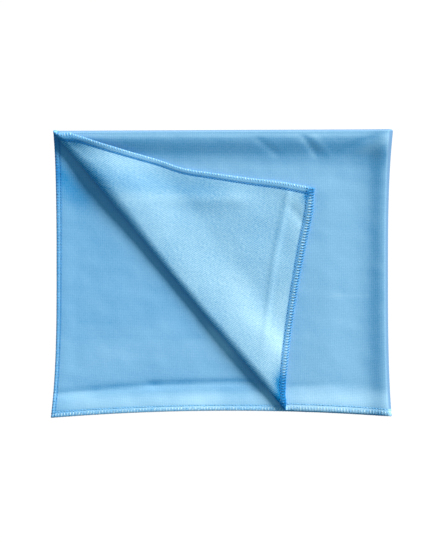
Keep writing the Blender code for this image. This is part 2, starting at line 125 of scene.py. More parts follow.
@dataclass(frozen=True)
class Profile:
    """A smooth curve through values, times a scale, at shares from 0 to 1."""

    shares: tuple[float, ...]
    values: tuple[float, ...]
    scale: float = 1.0

    def at(self, share: Array) -> Array:
        """Read the curve.

        Args:
            share: places from 0 to 1 along it.

        Returns:
            The values there.
        """
        knots, values = np.array(self.shares), np.array(self.values) * self.scale
        slopes = np.gradient(values, knots)
        share = np.clip(share, knots[0], knots[-1])
        left = np.clip(np.searchsorted(knots, share, side="right") - 1, 0, len(knots) - 2)
        run = knots[left + 1] - knots[left]
        t = (share - knots[left]) / run
        rise = values[left] * (2 * t**3 - 3 * t**2 + 1) + values[left + 1] * (3 * t**2 - 2 * t**3)
        bend = slopes[left] * (t**3 - 2 * t**2 + t) + slopes[left + 1] * (t**3 - t**2)
        return rise + run * bend


@dataclass(frozen=True)
class SoftLine:
    """A straight ridge, or a trough where the height is negative, in the pack's plan.

    The sizes are in millimetres, because the tables of lines are written out one by one.
    """

    x0: float
    y0: float
    x1: float
    y1: float
    half_width: float
    height: float

    def share(self, x: Array, y: Array) -> Array:
        """The line's strength at places in the plan.

        Args:
            x: places across the pack.
            y: places along it.

        Returns:
            1 on the line, and less beside it and past its ends.
        """
        run_x, run_y = (self.x1 - self.x0) * MM, (self.y1 - self.y0) * MM
        length = math.hypot(run_x, run_y)
        from_x, from_y = x - self.x0 * MM, y - self.y0 * MM
        way = (from_x * run_x + from_y * run_y) / length
        across = (from_y * run_x - from_x * run_y) / length
        past = np.maximum(0.0, np.maximum(-way, way - length))
        width = self.half_width * MM
        return np.exp(-((across / width) ** 2) - (past / (2 * width)) ** 2)


@dataclass(frozen=True)
class Relief:
    """Soft lines and a faint unevenness, added up."""

    lines: tuple[SoftLine, ...]
    ripple_height: float
    seed: int
    ripples: int = 9
    shortest: float = 22 * MM
    longest: float = 85 * MM

    def at(self, x: Array, y: Array) -> Array:
        """Height at places in the plan.

        Args:
            x: places across the pack.
            y: places along it.

        Returns:
            The summed height.
        """
        total = np.zeros_like(x)
        for line in self.lines:
            total = total + line.height * MM * line.share(x, y)
        draw = np.random.default_rng(self.seed)
        for _ in range(self.ripples):
            angle, phase = draw.uniform(0, math.pi), draw.uniform(0, 2 * math.pi)
            length = draw.uniform(self.shortest, self.longest)
            way = x * math.cos(angle) + y * math.sin(angle)
            share = self.ripple_height / self.ripples * (length / self.longest)
            total = total + share * np.sin(2 * math.pi * way / length + phase)
        return total


@dataclass(frozen=True)
class PaintedShade:
    """Painted light and shade on the cloth: by the slope, and by soft lines whose heights are tones.

    Slopes that face the key light's azimuth are painted pale, and slopes that face away are painted
    deep, as lit and shaded slopes look.
    """

    light_azimuth: float = 38.0
    gain: float = 5.0
    flap_gain: float = 2.0
    least: float = -0.7
    most: float = 0.45
    steep: tuple[float, float] = (0.05, 0.60)
    steep_top: float = 0.80
    # Painted light and shade on the second quarter: pale bands in its lower part, a shaded patch beside the
    # crease's shadow at the upper left, a lightened stretch of that shadow, and shaded lines.
    second: tuple[SoftLine, ...] = (
        SoftLine(-122, -113, -20, -113, 9, 0.85),
        SoftLine(-20, -113, 35, -112, 9, 0.65),
        SoftLine(-145, -119, 50, -117, 3, 0.30),
        SoftLine(-142, 86, -133, 77, 12, -1.15),
        SoftLine(-110, -104, 25, -101.5, 5, -0.40),
        SoftLine(-110, -72, -20, -74, 20, 0.30),
        SoftLine(-6, -53, 4, -66, 5, 0.90),
        SoftLine(-124, -42.8, -99, -43.2, 2, -0.22),
        SoftLine(-126, -56.5, -20, -56, 2, -0.15),
    )
    # Painted light and shade on the turned back corner: pale patches and a pale ridge, a painted shadow at
    # the crease's foot, and painted shade near the tip and along the upper part.
    flap: tuple[SoftLine, ...] = (
        SoftLine(-100, 86, -20, 72, 12, -0.55),
        SoftLine(15, -20, 45, -62, 18, 0.40),
        SoftLine(54, -20, 50, -60, 7, 0.35),
        SoftLine(66, 60, 70, 40, 8, 0.30),
        SoftLine(53, -98, 55, -122, 6, -1.90),
        SoftLine(76, 70, 79, 74, 3, -1.20),
        SoftLine(-147, 127, -134, 122, 5, -0.40),
        SoftLine(-80, 67.5, 8, 66.5, 5, 0.28),
    )
    # Painted light and shade on the top quarter's outer face: pale bands along the bottom and at the top
    # right corner, and shaded troughs.
    top: tuple[SoftLine, ...] = (
        SoftLine(84, -112, 144, -112, 10, 0.62),
        SoftLine(60, -118, 146, -121, 3, 0.40),
        SoftLine(70, 30, 68, -70, 5, -0.15),
        SoftLine(131, 112, 146, 119, 4.5, 0.45),
        SoftLine(112, 114, 134, 121, 4, -0.15),
        SoftLine(100.5, -18.6, 129, -19.5, 1.5, 0.25),
    )

    def shade_by_slope(self, normal: Array, gain: float) -> Array:
        """Painted shade by the slope: pale towards the key light's azimuth, deep away from it.

        Args:
            normal: the face's outward unit normals.
            gain: tone for each unit of slope.

        Returns:
            The tones, within their limits.
        """
        turn = math.radians(self.light_azimuth)
        facing = normal[:, 0] * math.sin(turn) + normal[:, 1] * math.cos(turn)
        return np.clip(gain * facing, self.least, self.most)

    @staticmethod
    def tone(lines: Sequence[SoftLine], x: Array, y: Array) -> Array:
        """The summed painted light and shade of some lines at places in the plan."""
        return sum(line.height * line.share(x, y) for line in lines)

    def at(self, a: Array, b: Array, middle: Array, normal: Array, cut: "Cut") -> tuple[Array, Array]:
        """Painted light and shade on the cloth's two faces.

        Args:
            a: places along the cloth's length.
            b: places along its width.
            middle: the same places on the folded surface.
            normal: its unit normals there.
            cut: the cloth as cut.

        Returns:
            The tones of the INNER face and of the OUTER face.
        """
        x, y = middle[:, 0], middle[:, 1]
        over, near = a > cut.length / 2, b < cut.width / 2
        second = self.tone(self.second, x, y) + self.shade_by_slope(normal, self.gain)
        flap = self.tone(self.flap, x, y) + self.shade_by_slope(normal, self.flap_gain)
        outer = self.tone(self.top, x, y) + self.shade_by_slope(-normal, self.gain)
        return np.where(over & ~near, second, np.where(over & near, flap, 0.0)), outer * over * near

    def fold_shade(self, normal: Array) -> Array:
        """How far the OUTER face turns down round the right and the top fold, from 0 to 1: its painted
        shade.
        """
        return ease(np.maximum(-normal[:, 0], -self.steep_top * normal[:, 1]), *self.steep)


# --- the cloth and its folds -----------------------------------------------------------------


@dataclass(frozen=True)
class Cut:
    """The cloth as cut and hemmed, lying open.

    Each edge has the width of its hem at both of its ends, towards a = 0 or b = 0 first. The hem's
    profile gives its swell from the edge in, and the groove is its line of stitching.
    """

    length: float = 600 * MM
    width: float = 500 * MM
    thickness: float = 0.8 * MM
    hem_width: float = 6.0 * MM
    hem_widths: dict[Edge, tuple[float, float]] = field(
        default_factory=lambda: {
            Edge.NEAR: (3.2 * MM, 7.5 * MM),
            Edge.END: (6.2 * MM, 3.2 * MM),
            Edge.FAR: (4.8 * MM, 4.8 * MM),
            Edge.START: (4.8 * MM, 4.8 * MM),
        }
    )
    hem_swell: float = 0.24 * MM
    hem_profile: Profile = Profile(
        (0.00, 0.05, 0.14, 0.35, 0.60, 0.80, 0.92, 1.00),
        (-0.30, 0.20, 0.70, 1.00, 0.95, 0.60, 0.00, 0.00),
    )
    groove: float = 0.11 * MM
    groove_share: float = 0.11
    stitch: float = 100 * MM / 39

    def way_in(self, edge: Edge, a: "Place", b: "Place") -> "Place":
        """Way in from one edge, for numbers, arrays or shader sockets alike."""
        place, size = (b, self.width) if edge.lengthwise else (a, self.length)
        return place if edge in (Edge.NEAR, Edge.START) else size - place

    def hem_at(self, edge: Edge, a: "Place", b: "Place") -> "Place":
        """Width of one edge's hem.

        Args:
            edge: the edge.
            a: places along the cloth's length, as numbers, arrays or shader sockets.
            b: places along its width.

        Returns:
            The width, in the same form.
        """
        first, last = self.hem_widths[edge]
        along = a / self.length if edge.lengthwise else b / self.width
        return first + along * (last - first)

    def half(self, edge: Edge) -> float:
        """Half the length of an edge."""
        return (self.length if edge.lengthwise else self.width) / 2

    def hem_share(self, a: "Place", b: "Place", least: Callable = np.minimum) -> "Place":
        """Way in from the nearest edge as a share of its hem, where least picks the smaller value."""
        return reduce(least, (self.way_in(edge, a, b) / self.hem_at(edge, a, b) for edge in Edge))

    def half_thickness(self, a: Array, b: Array) -> Array:
        """Half the thickness of the cloth, with the rounded hem and its line of stitching.

        Args:
            a: places along the cloth's length.
            b: places along its width.

        Returns:
            The way from the middle surface to either face.
        """
        share = self.hem_share(a, b)
        swell = self.hem_swell * self.hem_profile.at(share)
        groove = self.groove * np.exp(-(((share - 1.0) / self.groove_share) ** 2))
        return self.thickness / 2 + swell - groove


@dataclass(frozen=True)
class Pack:
    """The folded pack's outline, by the middles of its sides and its drawn out corners."""

    left: float = -147.3 * MM
    right: float = 147.6 * MM
    top: float = 126.9 * MM
    top_rise_right: float = 1.4 * MM
    bottom: float = -122.2 * MM
    reach_top_left: float = 2.9 * MM
    reach_top_right: float = 4.5 * MM
    reach_bottom_left: float = 5.1 * MM
    reach_bottom_right: float = 3.2 * MM
    corner_power: float = 3.0
    sag: float = 5.3 * MM
    sag_middle: float = 7.0 * MM
    sag_power: float = 1.5

    def drawn_out(self, x: Array, y: Array) -> tuple[Array, Array]:
        """Draw the straight-sided pack out to its corners.

        Args:
            x: places across the straight-sided pack.
            y: places along it.

        Returns:
            The places x and y in the real pack.
        """
        half_height = (self.top - self.bottom) / 2
        level = (y - (self.top + self.bottom) / 2) / half_height
        upper = np.clip(level, 0.0, None) ** self.corner_power
        lower = np.clip(-level, 0.0, None) ** self.corner_power
        left = self.reach_top_left * upper + self.reach_bottom_left * lower
        right = self.reach_top_right * upper + self.reach_bottom_right * lower
        across = (x - self.left) / (self.right - self.left)
        sag_share = ((x - self.sag_middle) / (self.right - self.sag_middle)) ** 2
        fall = np.clip((self.top - y) / (self.top - self.bottom), 0.0, None) ** self.sag_power
        rise = self.top_rise_right * across * np.clip(level, 0.0, 1.0)
        return x - left * (1 - across) + right * across, y - self.sag * sag_share * fall + rise


@dataclass(frozen=True)
class TopFold:
    """The first fold, at the top edge: a round roll that flattens away from the edge."""

    cut: Cut
    pack: Pack
    solid_thickness: float = 1.0 * MM
    pitch: float = 1.4 * MM
    radius: float = 1.65 * MM
    fades: Profile = Profile((0.00, 0.10, 0.25, 0.60, 0.85, 1.00), (64, 58, 56, 54, 44, 30), scale=MM)
    fall: Profile = Profile(
        (0.00, 0.09, 0.165, 0.25, 0.34, 0.46, 0.66, 1.00),
        (0.00, 0.01, 0.10, 0.34, 0.60, 0.80, 0.93, 1.00),
    )

    @property
    def axis(self) -> float:
        """The Y of the roll's axis."""
        return self.pack.top - self.solid_thickness / 2 - self.radius

    @property
    def turn(self) -> float:
        """Length of cloth in a quarter turn."""
        return self.radius * math.pi / 2

    @property
    def scale(self) -> float:
        """How much of its length the cloth takes up in the plan, behind the roll."""
        return (self.axis - self.pack.bottom) / (self.cut.width / 2 - self.turn)

    def upper_height(self, u: Array, y: Array) -> Array:
        """Height of the folded-over half above the near half.

        Args:
            u: way from the side fold, along the cloth.
            y: places along the pack.

        Returns:
            The height between the middles of the two halves.
        """
        fade = self.fades.at(u / (self.cut.length / 2))
        flat = self.fall.at((self.axis - y) / fade)
        return 2 * self.radius + (self.pitch - 2 * self.radius) * flat

    def place(self, u: Array, v: Array, far: Array, rise: Array) -> tuple[Array, Array]:
        """Fold the cloth's width.

        Args:
            u: way from the side fold.
            v: way from this fold.
            far: true on the half that is folded over.
            rise: way off the sheet, outwards.

        Returns:
            The places y, and the heights over the near half.
        """
        angle = np.minimum(v, self.turn) / self.radius
        radius = self.radius + rise
        side = np.where(far, 1.0, -1.0)
        turned = v < self.turn
        behind = self.axis - (v - self.turn) * self.scale
        y = np.where(turned, self.axis + radius * np.cos(angle), behind)
        flat_height = np.where(far, self.upper_height(u, y) + rise, -rise)
        height = np.where(turned, self.radius + side * radius * np.sin(angle), flat_height)
        return y, height


@dataclass(frozen=True)
class SideFold:
    """The second fold, at the right edge: an open turn, behind which the layers come down."""

    top: TopFold
    inner_radius: float = 1.95 * MM
    inner_radius_top: float = 1.3 * MM
    tight_run: float = 20 * MM
    fade: float = 30 * MM
    fall: Profile = Profile(
        (0.00, 0.06, 0.15, 0.30, 0.45, 0.60, 0.80, 1.00),
        (0.00, 0.03, 0.15, 0.48, 0.76, 0.89, 0.97, 1.00),
    )

    def radii(self, y: Array) -> tuple[Array, Array]:
        """Radii of the turn, which is tighter near the top fold.

        Args:
            y: places along the edge.

        Returns:
            The outer and the inner radius there.
        """
        near_top = ease(y, self.top.axis - self.tight_run, self.top.axis)
        inner = self.inner_radius + (self.inner_radius_top - self.inner_radius) * near_top
        return inner + self.top.upper_height(0.0, y), inner

    def axis(self, outer: Array) -> Array:
        """The X of the turn's axis, for its outer radius."""
        return self.top.pack.right - self.top.solid_thickness / 2 - outer

    @property
    def turn(self) -> float:
        """Length of cloth in a quarter turn, in the middle of the edge."""
        outer, inner = self.radii(np.array(0.0))
        return float(outer + inner) / 2 * math.pi / 2

    @property
    def scale(self) -> float:
        """How much of its length the cloth takes up in the plan, behind the turn.

        Returns:
            The share, in the middle of the edge.
        """
        outer, _ = self.radii(np.array(0.0))
        half = self.top.cut.length / 2
        return float(self.axis(outer) - self.top.pack.left) / (half - self.turn)

    def place(self, u: Array, over: Array, y: Array, height: Array) -> tuple[Array, Array]:
        """Fold the cloth's length.

        Args:
            u: way from this fold.
            over: true on the half that is folded over.
            y: places along the pack.
            height: heights over the near half of the first fold.

        Returns:
            The places x and the heights over the bottom layer's middle.
        """
        outer, inner = self.radii(y)
        axis = self.axis(outer)
        mean = (outer + inner) / 2
        turn = mean * math.pi / 2
        angle = np.minimum(u, turn) / mean
        radius = outer - height
        side = np.where(over, 1.0, -1.0)
        scale = (axis - self.top.pack.left) / (self.top.cut.length / 2 - turn)
        x = np.where(u < turn, axis + radius * np.cos(angle), axis - (u - turn) * scale)
        loose = 2 * (outer - self.top.upper_height(u, y)) - self.top.pitch
        drop = loose * self.fall.at((u - turn) / self.fade)
        return x, outer + side * radius * np.sin(angle) - np.where(over, drop, 0.0)


@dataclass(frozen=True)
class CreaseTurn:
    """The crease's turn at some places: half height, arc radii, reach and quarter length."""

    half: Array
    tip: Array
    shoulder: Array
    reach: Array
    quarter: Array


@dataclass(frozen=True)
class CornerFold:
    """The third fold: the free corner of the top quarter, turned back along a slanting crease.

    The crease runs from its start, at the pack's top left corner, to its foot on the bottom hem. The
    profiles of its height and its bow run that way. Those of the flap's two hems run to the free
    corner or away from it, and draw a hem in or out from its straight line.
    """

    side: SideFold
    start_y: float = 126.1 * MM
    foot_x: float = 56.0 * MM
    free_corner: tuple[float, float] = (81.5 * MM, 75.4 * MM)
    tip_share: float = 0.55
    tip_angle: float = math.radians(67)
    fade: float = 46 * MM
    flap_rise: float = 2.1 * MM
    bow_depth: float = 60 * MM
    inset_depth: float = 80 * MM
    inset_start: float = 6 * MM
    half_heights: Profile = Profile(
        (0.00, 0.06, 0.10, 0.15, 0.20, 0.26, 0.38, 0.50, 0.62, 0.76, 0.92, 1.00),
        (0.80, 1.75, 2.80, 3.90, 3.80, 3.30, 2.40, 2.10, 2.10, 2.30, 2.00, 1.30),
        scale=MM,
    )
    bows: Profile = Profile(
        (0.00, 0.05, 0.12, 0.25, 0.50, 0.75, 0.92, 1.00),
        (0.0, 0.6, 1.0, 0.9, 1.5, 1.4, 0.1, 0.0),
        scale=MM,
    )
    top_hem: Profile = Profile(
        (0.00, 0.045, 0.11, 0.18, 0.25, 0.31, 0.40, 0.50, 0.62, 0.76, 0.88, 1.00),
        (0.0, -2.6, -1.9, -0.6, 0.6, 1.9, 3.8, 6.9, 5.7, 3.4, 0.8, 0.0),
        scale=MM,
    )
    right_hem: Profile = Profile(
        (0.00, 0.10, 0.25, 0.50, 0.80, 0.92, 1.00),
        (0.0, -1.8, 0.2, 2.8, 2.8, 1.9, 0.0),
        scale=MM,
    )
    relief: Relief = Relief(
        lines=(
            SoftLine(-100, 66, 14, 65, 7.0, 0.38),
            SoftLine(-98, 92, 40, 70, 8.0, -0.22),
            SoftLine(58, 70, 46.8, 16, 2.5, 0.60),
            SoftLine(45.2, 7, 36, -68, 2.5, 0.50),
            SoftLine(64, 54, 69, 48, 4.0, -0.40),
            SoftLine(26, -50, 48, -70, 12.0, 0.80),
        ),
        ripple_height=0.9 * MM,
        seed=11,
    )
    lowest_relief: float = -0.55 * MM

    @property
    def cut(self) -> Cut:
        """The cloth as cut."""
        return self.side.top.cut

    @property
    def pack(self) -> Pack:
        """The pack that the crease lies in."""
        return self.side.top.pack

    @property
    def foot_y(self) -> float:
        """The Y of the crease's foot, on the trimmed bottom hem of the top quarter."""
        return self.pack.bottom + TOP_TRIM

    @property
    def run(self) -> float:
        """Length of the crease in the plan."""
        return math.hypot(self.foot_x - self.pack.left, self.foot_y - self.start_y)

    @property
    def way(self) -> tuple[float, float]:
        """Direction of the crease in the plan."""
        run = self.run
        return (self.foot_x - self.pack.left) / run, (self.foot_y - self.start_y) / run

    def plan_of(self, u: Array, v: Array) -> tuple[Array, Array]:
        """Where the top quarter would lie without this fold.

        Args:
            u: way from the side fold.
            v: way from the top fold.

        Returns:
            The places x and y in the plan.
        """
        x = self.pack.left + (self.cut.length / 2 - u) * self.side.scale
        y = self.pack.bottom + (self.cut.width / 2 - v) * self.side.top.scale
        return x, y

    def cloth_of(self, x: Array, y: Array) -> tuple[Array, Array]:
        """The inverse of plan_of.

        Args:
            x: places across the pack.
            y: places along it.

        Returns:
            The ways u and v from the folds.
        """
        u = self.cut.length / 2 - (x - self.pack.left) / self.side.scale
        v = self.cut.width / 2 - (y - self.pack.bottom) / self.side.top.scale
        return u, v

    def to_crease(self, x: Array, y: Array) -> tuple[Array, Array]:
        """The way along the crease, and the way from it into the pack, of places in the plan."""
        dx, dy = x - self.pack.left, y - self.start_y
        return dx * self.way[0] + dy * self.way[1], dy * self.way[0] - dx * self.way[1]

    def from_crease(self, s: Array, q: Array) -> tuple[Array, Array]:
        """The inverse of to_crease.

        Args:
            s: ways along the crease.
            q: ways from it into the pack.

        Returns:
            The places x and y in the plan.
        """
        x = self.pack.left + s * self.way[0] - q * self.way[1]
        y = self.start_y + s * self.way[1] + q * self.way[0]
        return x, y

    def section(self, s: Array) -> CreaseTurn:
        """The crease's turn: a small arc round the tip, then a wide one up to the crown.

        Args:
            s: ways along the crease.

        Returns:
            The turn at each place.
        """
        half = self.half_heights.at(s / self.run)
        tip = half * self.tip_share
        sine, cosine = math.sin(self.tip_angle), math.cos(self.tip_angle)
        shoulder = (half - tip * sine) / (1 - sine)
        reach = tip * (1 - cosine) + shoulder * cosine
        quarter = tip * self.tip_angle + shoulder * (math.pi / 2 - self.tip_angle)
        return CreaseTurn(half, tip, shoulder, reach, quarter)

    def climb(self, path: Array, section: CreaseTurn) -> tuple[Array, Array]:
        """Follow the cloth from the crease's tip towards its crown.

        Args:
            path: way along the cloth.
            section: the turn there.

        Returns:
            How far in from the tip, and how high over it, the cloth then is.
        """
        tip, shoulder = section.tip, section.shoulder
        bend = tip * self.tip_angle
        angle = np.where(path < bend, path / tip, self.tip_angle + (path - bend) / shoulder)
        sine, cosine = math.sin(self.tip_angle), math.cos(self.tip_angle)
        wide_reach = tip * (1 - cosine) + shoulder * (cosine - np.cos(angle))
        wide_climb = tip * sine + shoulder * (np.sin(angle) - sine)
        reach = np.where(path < bend, tip * (1 - np.cos(angle)), wide_reach)
        return reach, np.where(path < bend, tip * np.sin(angle), wide_climb)

    def flap_plan(self, x: Array, y: Array, s: Array, depth: Array) -> tuple[Array, Array]:
        """Place the flap in the plan.

        Args:
            x: where the cloth would lie without this fold.
            y: the same, along the pack.
            s: its way along the crease.
            depth: its way past the end of the crease's turn.

        Returns:
            The way along the crease, and the way from it, of the flap.
        """
        corner_s, corner_q = self.to_crease(self.pack.left, self.foot_y)
        target_s, target_q = self.to_crease(*self.free_corner)
        at_corner = self.section(corner_s)
        share = depth / (at_corner.reach - corner_q - 2 * at_corner.quarter)
        q = self.section(s).reach + (target_q - at_corner.reach) * share
        along = s + (target_s - corner_s) * share

        start = ease(depth, 0.0, self.inset_start)
        near_top = start * np.clip(1 - (x - self.pack.left) / self.inset_depth, 0.0, 1.0) ** 2
        near_right = start * np.clip(1 - (y - self.foot_y) / self.inset_depth, 0.0, 1.0) ** 2
        top_share = 1 - (y - self.foot_y) / (self.start_y - self.foot_y)
        right_share = (x - self.pack.left) / (self.foot_x - self.pack.left)
        corner_x, corner_y = self.free_corner
        hems = (
            ((corner_x - self.pack.left, corner_y - self.start_y), self.top_hem.at(top_share) * near_top),
            ((self.foot_x - corner_x, self.foot_y - corner_y), self.right_hem.at(right_share) * near_right),
        )
        for (run_x, run_y), inset in hems:
            length = math.hypot(run_x, run_y)
            in_x, in_y = run_y / length, -run_x / length
            along = along + inset * (in_x * self.way[0] + in_y * self.way[1])
            q = q + inset * (in_y * self.way[0] - in_x * self.way[1])
        return along, q

    def place(self, u: Array, v: Array) -> tuple[Array, Array, Array]:
        """Turn the free corner back.

        Args:
            u: way of the top quarter's cloth from the side fold.
            v: its way from the top fold.

        Returns:
            The new ways u and v, and the rise off the quarter's own sheet.
        """
        x, y = self.plan_of(u, v)
        s, q = self.to_crease(x, y)
        section = self.section(s)
        half, quarter = section.half, section.quarter
        past = section.reach - q
        turn_reach, climb = self.climb(np.minimum(np.abs(past - quarter), quarter), section)
        depth = np.maximum(0.0, past - 2 * quarter)
        flap_s, flap_q = self.flap_plan(x, y, s, depth)

        in_turn = (past > 0) & (depth <= 0)
        in_flap = depth > 0
        new_s = np.where(in_flap, flap_s, s)
        new_q = np.where(in_flap, flap_q, np.where(in_turn, turn_reach, q))
        flat_x, flat_y = self.from_crease(new_s, new_q)
        fade = ease(flap_q - section.reach, 0.0, self.fade)
        relief = np.maximum(self.relief.at(flat_x, flat_y), self.lowest_relief)
        flap_rise = 2 * half + (self.flap_rise - 2 * half + relief) * fade
        turn_rise = np.where(past < quarter, half - climb, half + climb)
        rise = np.where(in_flap, flap_rise, np.where(in_turn, turn_rise, 0.0))

        bow = self.bows.at(new_s / self.run)
        new_q = new_q - bow * (1 - ease(new_q, 0.0, self.bow_depth))
        new_u, new_v = self.cloth_of(*self.from_crease(new_s, new_q))
        return new_u, new_v, rise


@dataclass(frozen=True)
class FoldedCloth:
    """The whole cloth's middle surface, folded.

    The trims say how far each quarter's hems are drawn in. The upper two layers rest a little higher
    than their pitch, with creases, and they and the stacked hems rise from the edges in.
    """

    corner: CornerFold
    side_trim: dict[Quarter, float] = field(
        default_factory=lambda: {
            Quarter.TOP: 0.0,
            Quarter.SECOND: 0.0,
            Quarter.THIRD: 1.3 * MM,
            Quarter.BOTTOM: 0.6 * MM,
        }
    )
    bottom_trim: dict[Quarter, float] = field(
        default_factory=lambda: {
            Quarter.TOP: TOP_TRIM,
            Quarter.SECOND: 0.3 * MM,
            Quarter.THIRD: 1.0 * MM,
            Quarter.BOTTOM: 0.0,
        }
    )
    trim_run: float = 17 * MM
    rest: float = 1.0 * MM
    rest_starts: tuple[float, float] = (20 * MM, 60 * MM)
    relief: Relief = Relief(
        lines=(
            SoftLine(-141, -101.8, -60, -98.2, 3.0, -0.40),
            SoftLine(-60, -98.2, 22, -96.8, 2.8, -0.50),
            SoftLine(60, -99.5, 126, -95, 3.2, -0.15),
            SoftLine(-60, -62, -90, -84, 14.0, 0.35),
        ),
        ripple_height=0.35 * MM,
        seed=5,
    )
    wrinkles: Relief = Relief(
        lines=(
            SoftLine(-130, 122, 140, 122, 4.2, 0.22),
            SoftLine(71, 119, 80, 107, 2.6, -0.40),
            SoftLine(80, 118, 90, 108, 3.0, 0.25),
            SoftLine(32, 117, 44, 108, 3.0, -0.30),
            SoftLine(112, 112, 134, 122, 3.5, -0.22),
        ),
        ripple_height=0.12 * MM,
        seed=8,
        shortest=9 * MM,
        longest=26 * MM,
    )
    wrinkle_starts: tuple[float, float] = (3 * MM, 8 * MM)
    hem_rest: float = 0.30 * MM
    hem_step: float = 0.25 * MM
    bottom_rise: tuple[float, float] = (5 * MM, 24 * MM)
    left_rise: tuple[float, float] = (5 * MM, 20 * MM)
    left_share: float = 0.3
    slope_step: float = 0.05 * MM
    places_along: int = 301
    places_across: int = 251

    @property
    def cut(self) -> Cut:
        """The cloth as cut."""
        return self.corner.cut

    @property
    def pack(self) -> Pack:
        """The pack's outline."""
        return self.corner.pack

    def trimmed(self, a: Array, b: Array) -> tuple[Array, Array]:
        """The ways from the two folds, with each quarter's hems drawn in by its own trim.

        Args:
            a: places along the cloth's length.
            b: places along its width.

        Returns:
            The way from the side fold and the way from the top fold.
        """
        half_a, half_b = self.cut.length / 2, self.cut.width / 2
        over = ease(a, half_a - self.trim_run, half_a + self.trim_run)
        far = ease(b, half_b - self.trim_run, half_b + self.trim_run)
        weights = {
            Quarter.TOP: over * (1 - far),
            Quarter.SECOND: over * far,
            Quarter.THIRD: (1 - over) * far,
            Quarter.BOTTOM: (1 - over) * (1 - far),
        }
        side = sum(weight * self.side_trim[quarter] for quarter, weight in weights.items())
        bottom = sum(weight * self.bottom_trim[quarter] for quarter, weight in weights.items())
        return np.abs(a - half_a) * (1 - side / half_a), np.abs(b - half_b) * (1 - bottom / half_b)

    def stacked_hems(self, x: Array, y: Array) -> Array:
        """Where the pack's hems lie on each other, at its left and bottom edges.

        Args:
            x: places across the pack.
            y: places along it.

        Returns:
            1 on the stack, and 0 inside the pack.
        """
        at_left = 1 - ease(x - self.pack.left, *self.left_rise)
        at_bottom = 1 - ease(y - self.pack.bottom, *self.bottom_rise)
        return 1 - (1 - self.left_share * at_left) * (1 - at_bottom)

    def surface(self, a: Array, b: Array) -> Array:
        """Fold places of the cloth's middle surface.

        Args:
            a: places along the cloth's length.
            b: places along its width.

        Returns:
            An (n, 3) array of places, before the pack is centred on its footprint.
        """
        top, side = self.corner.side.top, self.corner.side
        over, far = a > self.cut.length / 2, b > self.cut.width / 2
        u, v = self.trimmed(a, b)
        turned_u, turned_v, rise = self.corner.place(u, v)
        top_quarter = over & ~far
        u, v = np.where(top_quarter, turned_u, u), np.where(top_quarter, turned_v, v)
        rise = np.where(top_quarter, rise, 0.0)
        y, height = top.place(u, v, far, rise)
        x, z = side.place(u, over, y, height)

        edge = ease(self.pack.top - y, *self.wrinkle_starts)
        lift = np.maximum(self.rest + self.relief.at(x, y), 0.0)
        for inside in (self.pack.right - x, self.pack.top - y):
            lift = lift * ease(inside, *self.rest_starts)
        lift = lift + self.wrinkles.at(x, y) * edge
        z = z + lift * np.clip(z / top.pitch - 1, 0.0, 1.0)
        layers_below = np.clip(z / top.pitch, 0.0, len(Quarter) - 1)
        z = z + self.stacked_hems(x, y) * (self.hem_rest + self.hem_step * layers_below)
        x, y = self.pack.drawn_out(x, y)
        return np.column_stack((x, y, z + self.cut.thickness / 2))

    def normals(self, a: Array, b: Array) -> Array:
        """Unit normals of the middle surface, by central differences.

        Args:
            a: places along the cloth's length.
            b: places along its width.

        Returns:
            An (n, 3) array, along the INNER face's outward direction.
        """
        step = self.slope_step
        along_a = self.surface(a + step, b) - self.surface(a - step, b)
        along_b = self.surface(a, b + step) - self.surface(a, b - step)
        return unit(np.cross(along_a, along_b))

    def footprint_middle(self) -> Array:
        """The middle of the pack's footprint, by the cloth's edges and its line at the side fold.

        Returns:
            The place x and y, before the pack is centred.
        """
        length, width = self.cut.length, self.cut.width
        along, across = np.linspace(0, length, self.places_along), np.linspace(0, width, self.places_across)
        a = np.concatenate([along, along, np.repeat((0.0, length / 2, length), self.places_across)])
        b = np.concatenate([np.repeat((0.0, width), self.places_along), across, across, across])
        rim = self.surface(a, b)
        return (rim.min(axis=0)[:2] + rim.max(axis=0)[:2]) / 2


# --- what is sewn along the edges ------------------------------------------------------------


class Part(Enum):
    """The parts of a stitch, which differ in shade."""

    DASH = "lies across the face"
    RIM = "goes round the edge"
    LINE = "the needle's line"
    DEEP = "sunk in the cloth"


@dataclass(frozen=True)
class Seam:
    """Shades of one stretch of the edge: 0 is deep blue and 1 nearly white.

    The stretches differ partly by painted light and shade: pale where an edge faces the light, as on
    the flap's upper hem, and deep where it is in shade, as at the rims of the right and left hems.
    Line and band are how deep the cloth itself is tinted at the needle's line and beside it. Sunk is
    how far the thread has sunk into the pile, in radii.
    """

    dash: float
    rim: float
    needle: float
    line: float
    band: float
    uneven: float = 0.10
    sunk: float = 0.0

    @property
    def tints(self) -> tuple[float, float, float]:
        """How deep the cloth is tinted at the needle's line, on the band and at the rim."""
        return self.line, self.band, max(0.0, 1 - 2 * self.rim)

    def shade(self, part: Part) -> float:
        """Shade of one part of the stitch."""
        return {Part.DASH: self.dash, Part.RIM: self.rim}.get(part, self.needle)


@dataclass(frozen=True)
class ThreadStep:
    """One point of a stitch: shares of the stitch's length and the hem's width, and its lie.

    Where turn is None the thread lies on a face at that lift, in radii. Otherwise it goes round the
    cloth's edge: turn is the angle from straight out towards the face, in degrees.
    """

    along: float
    inward: float
    lift: float
    part: Part
    turn: Union[float, None] = None


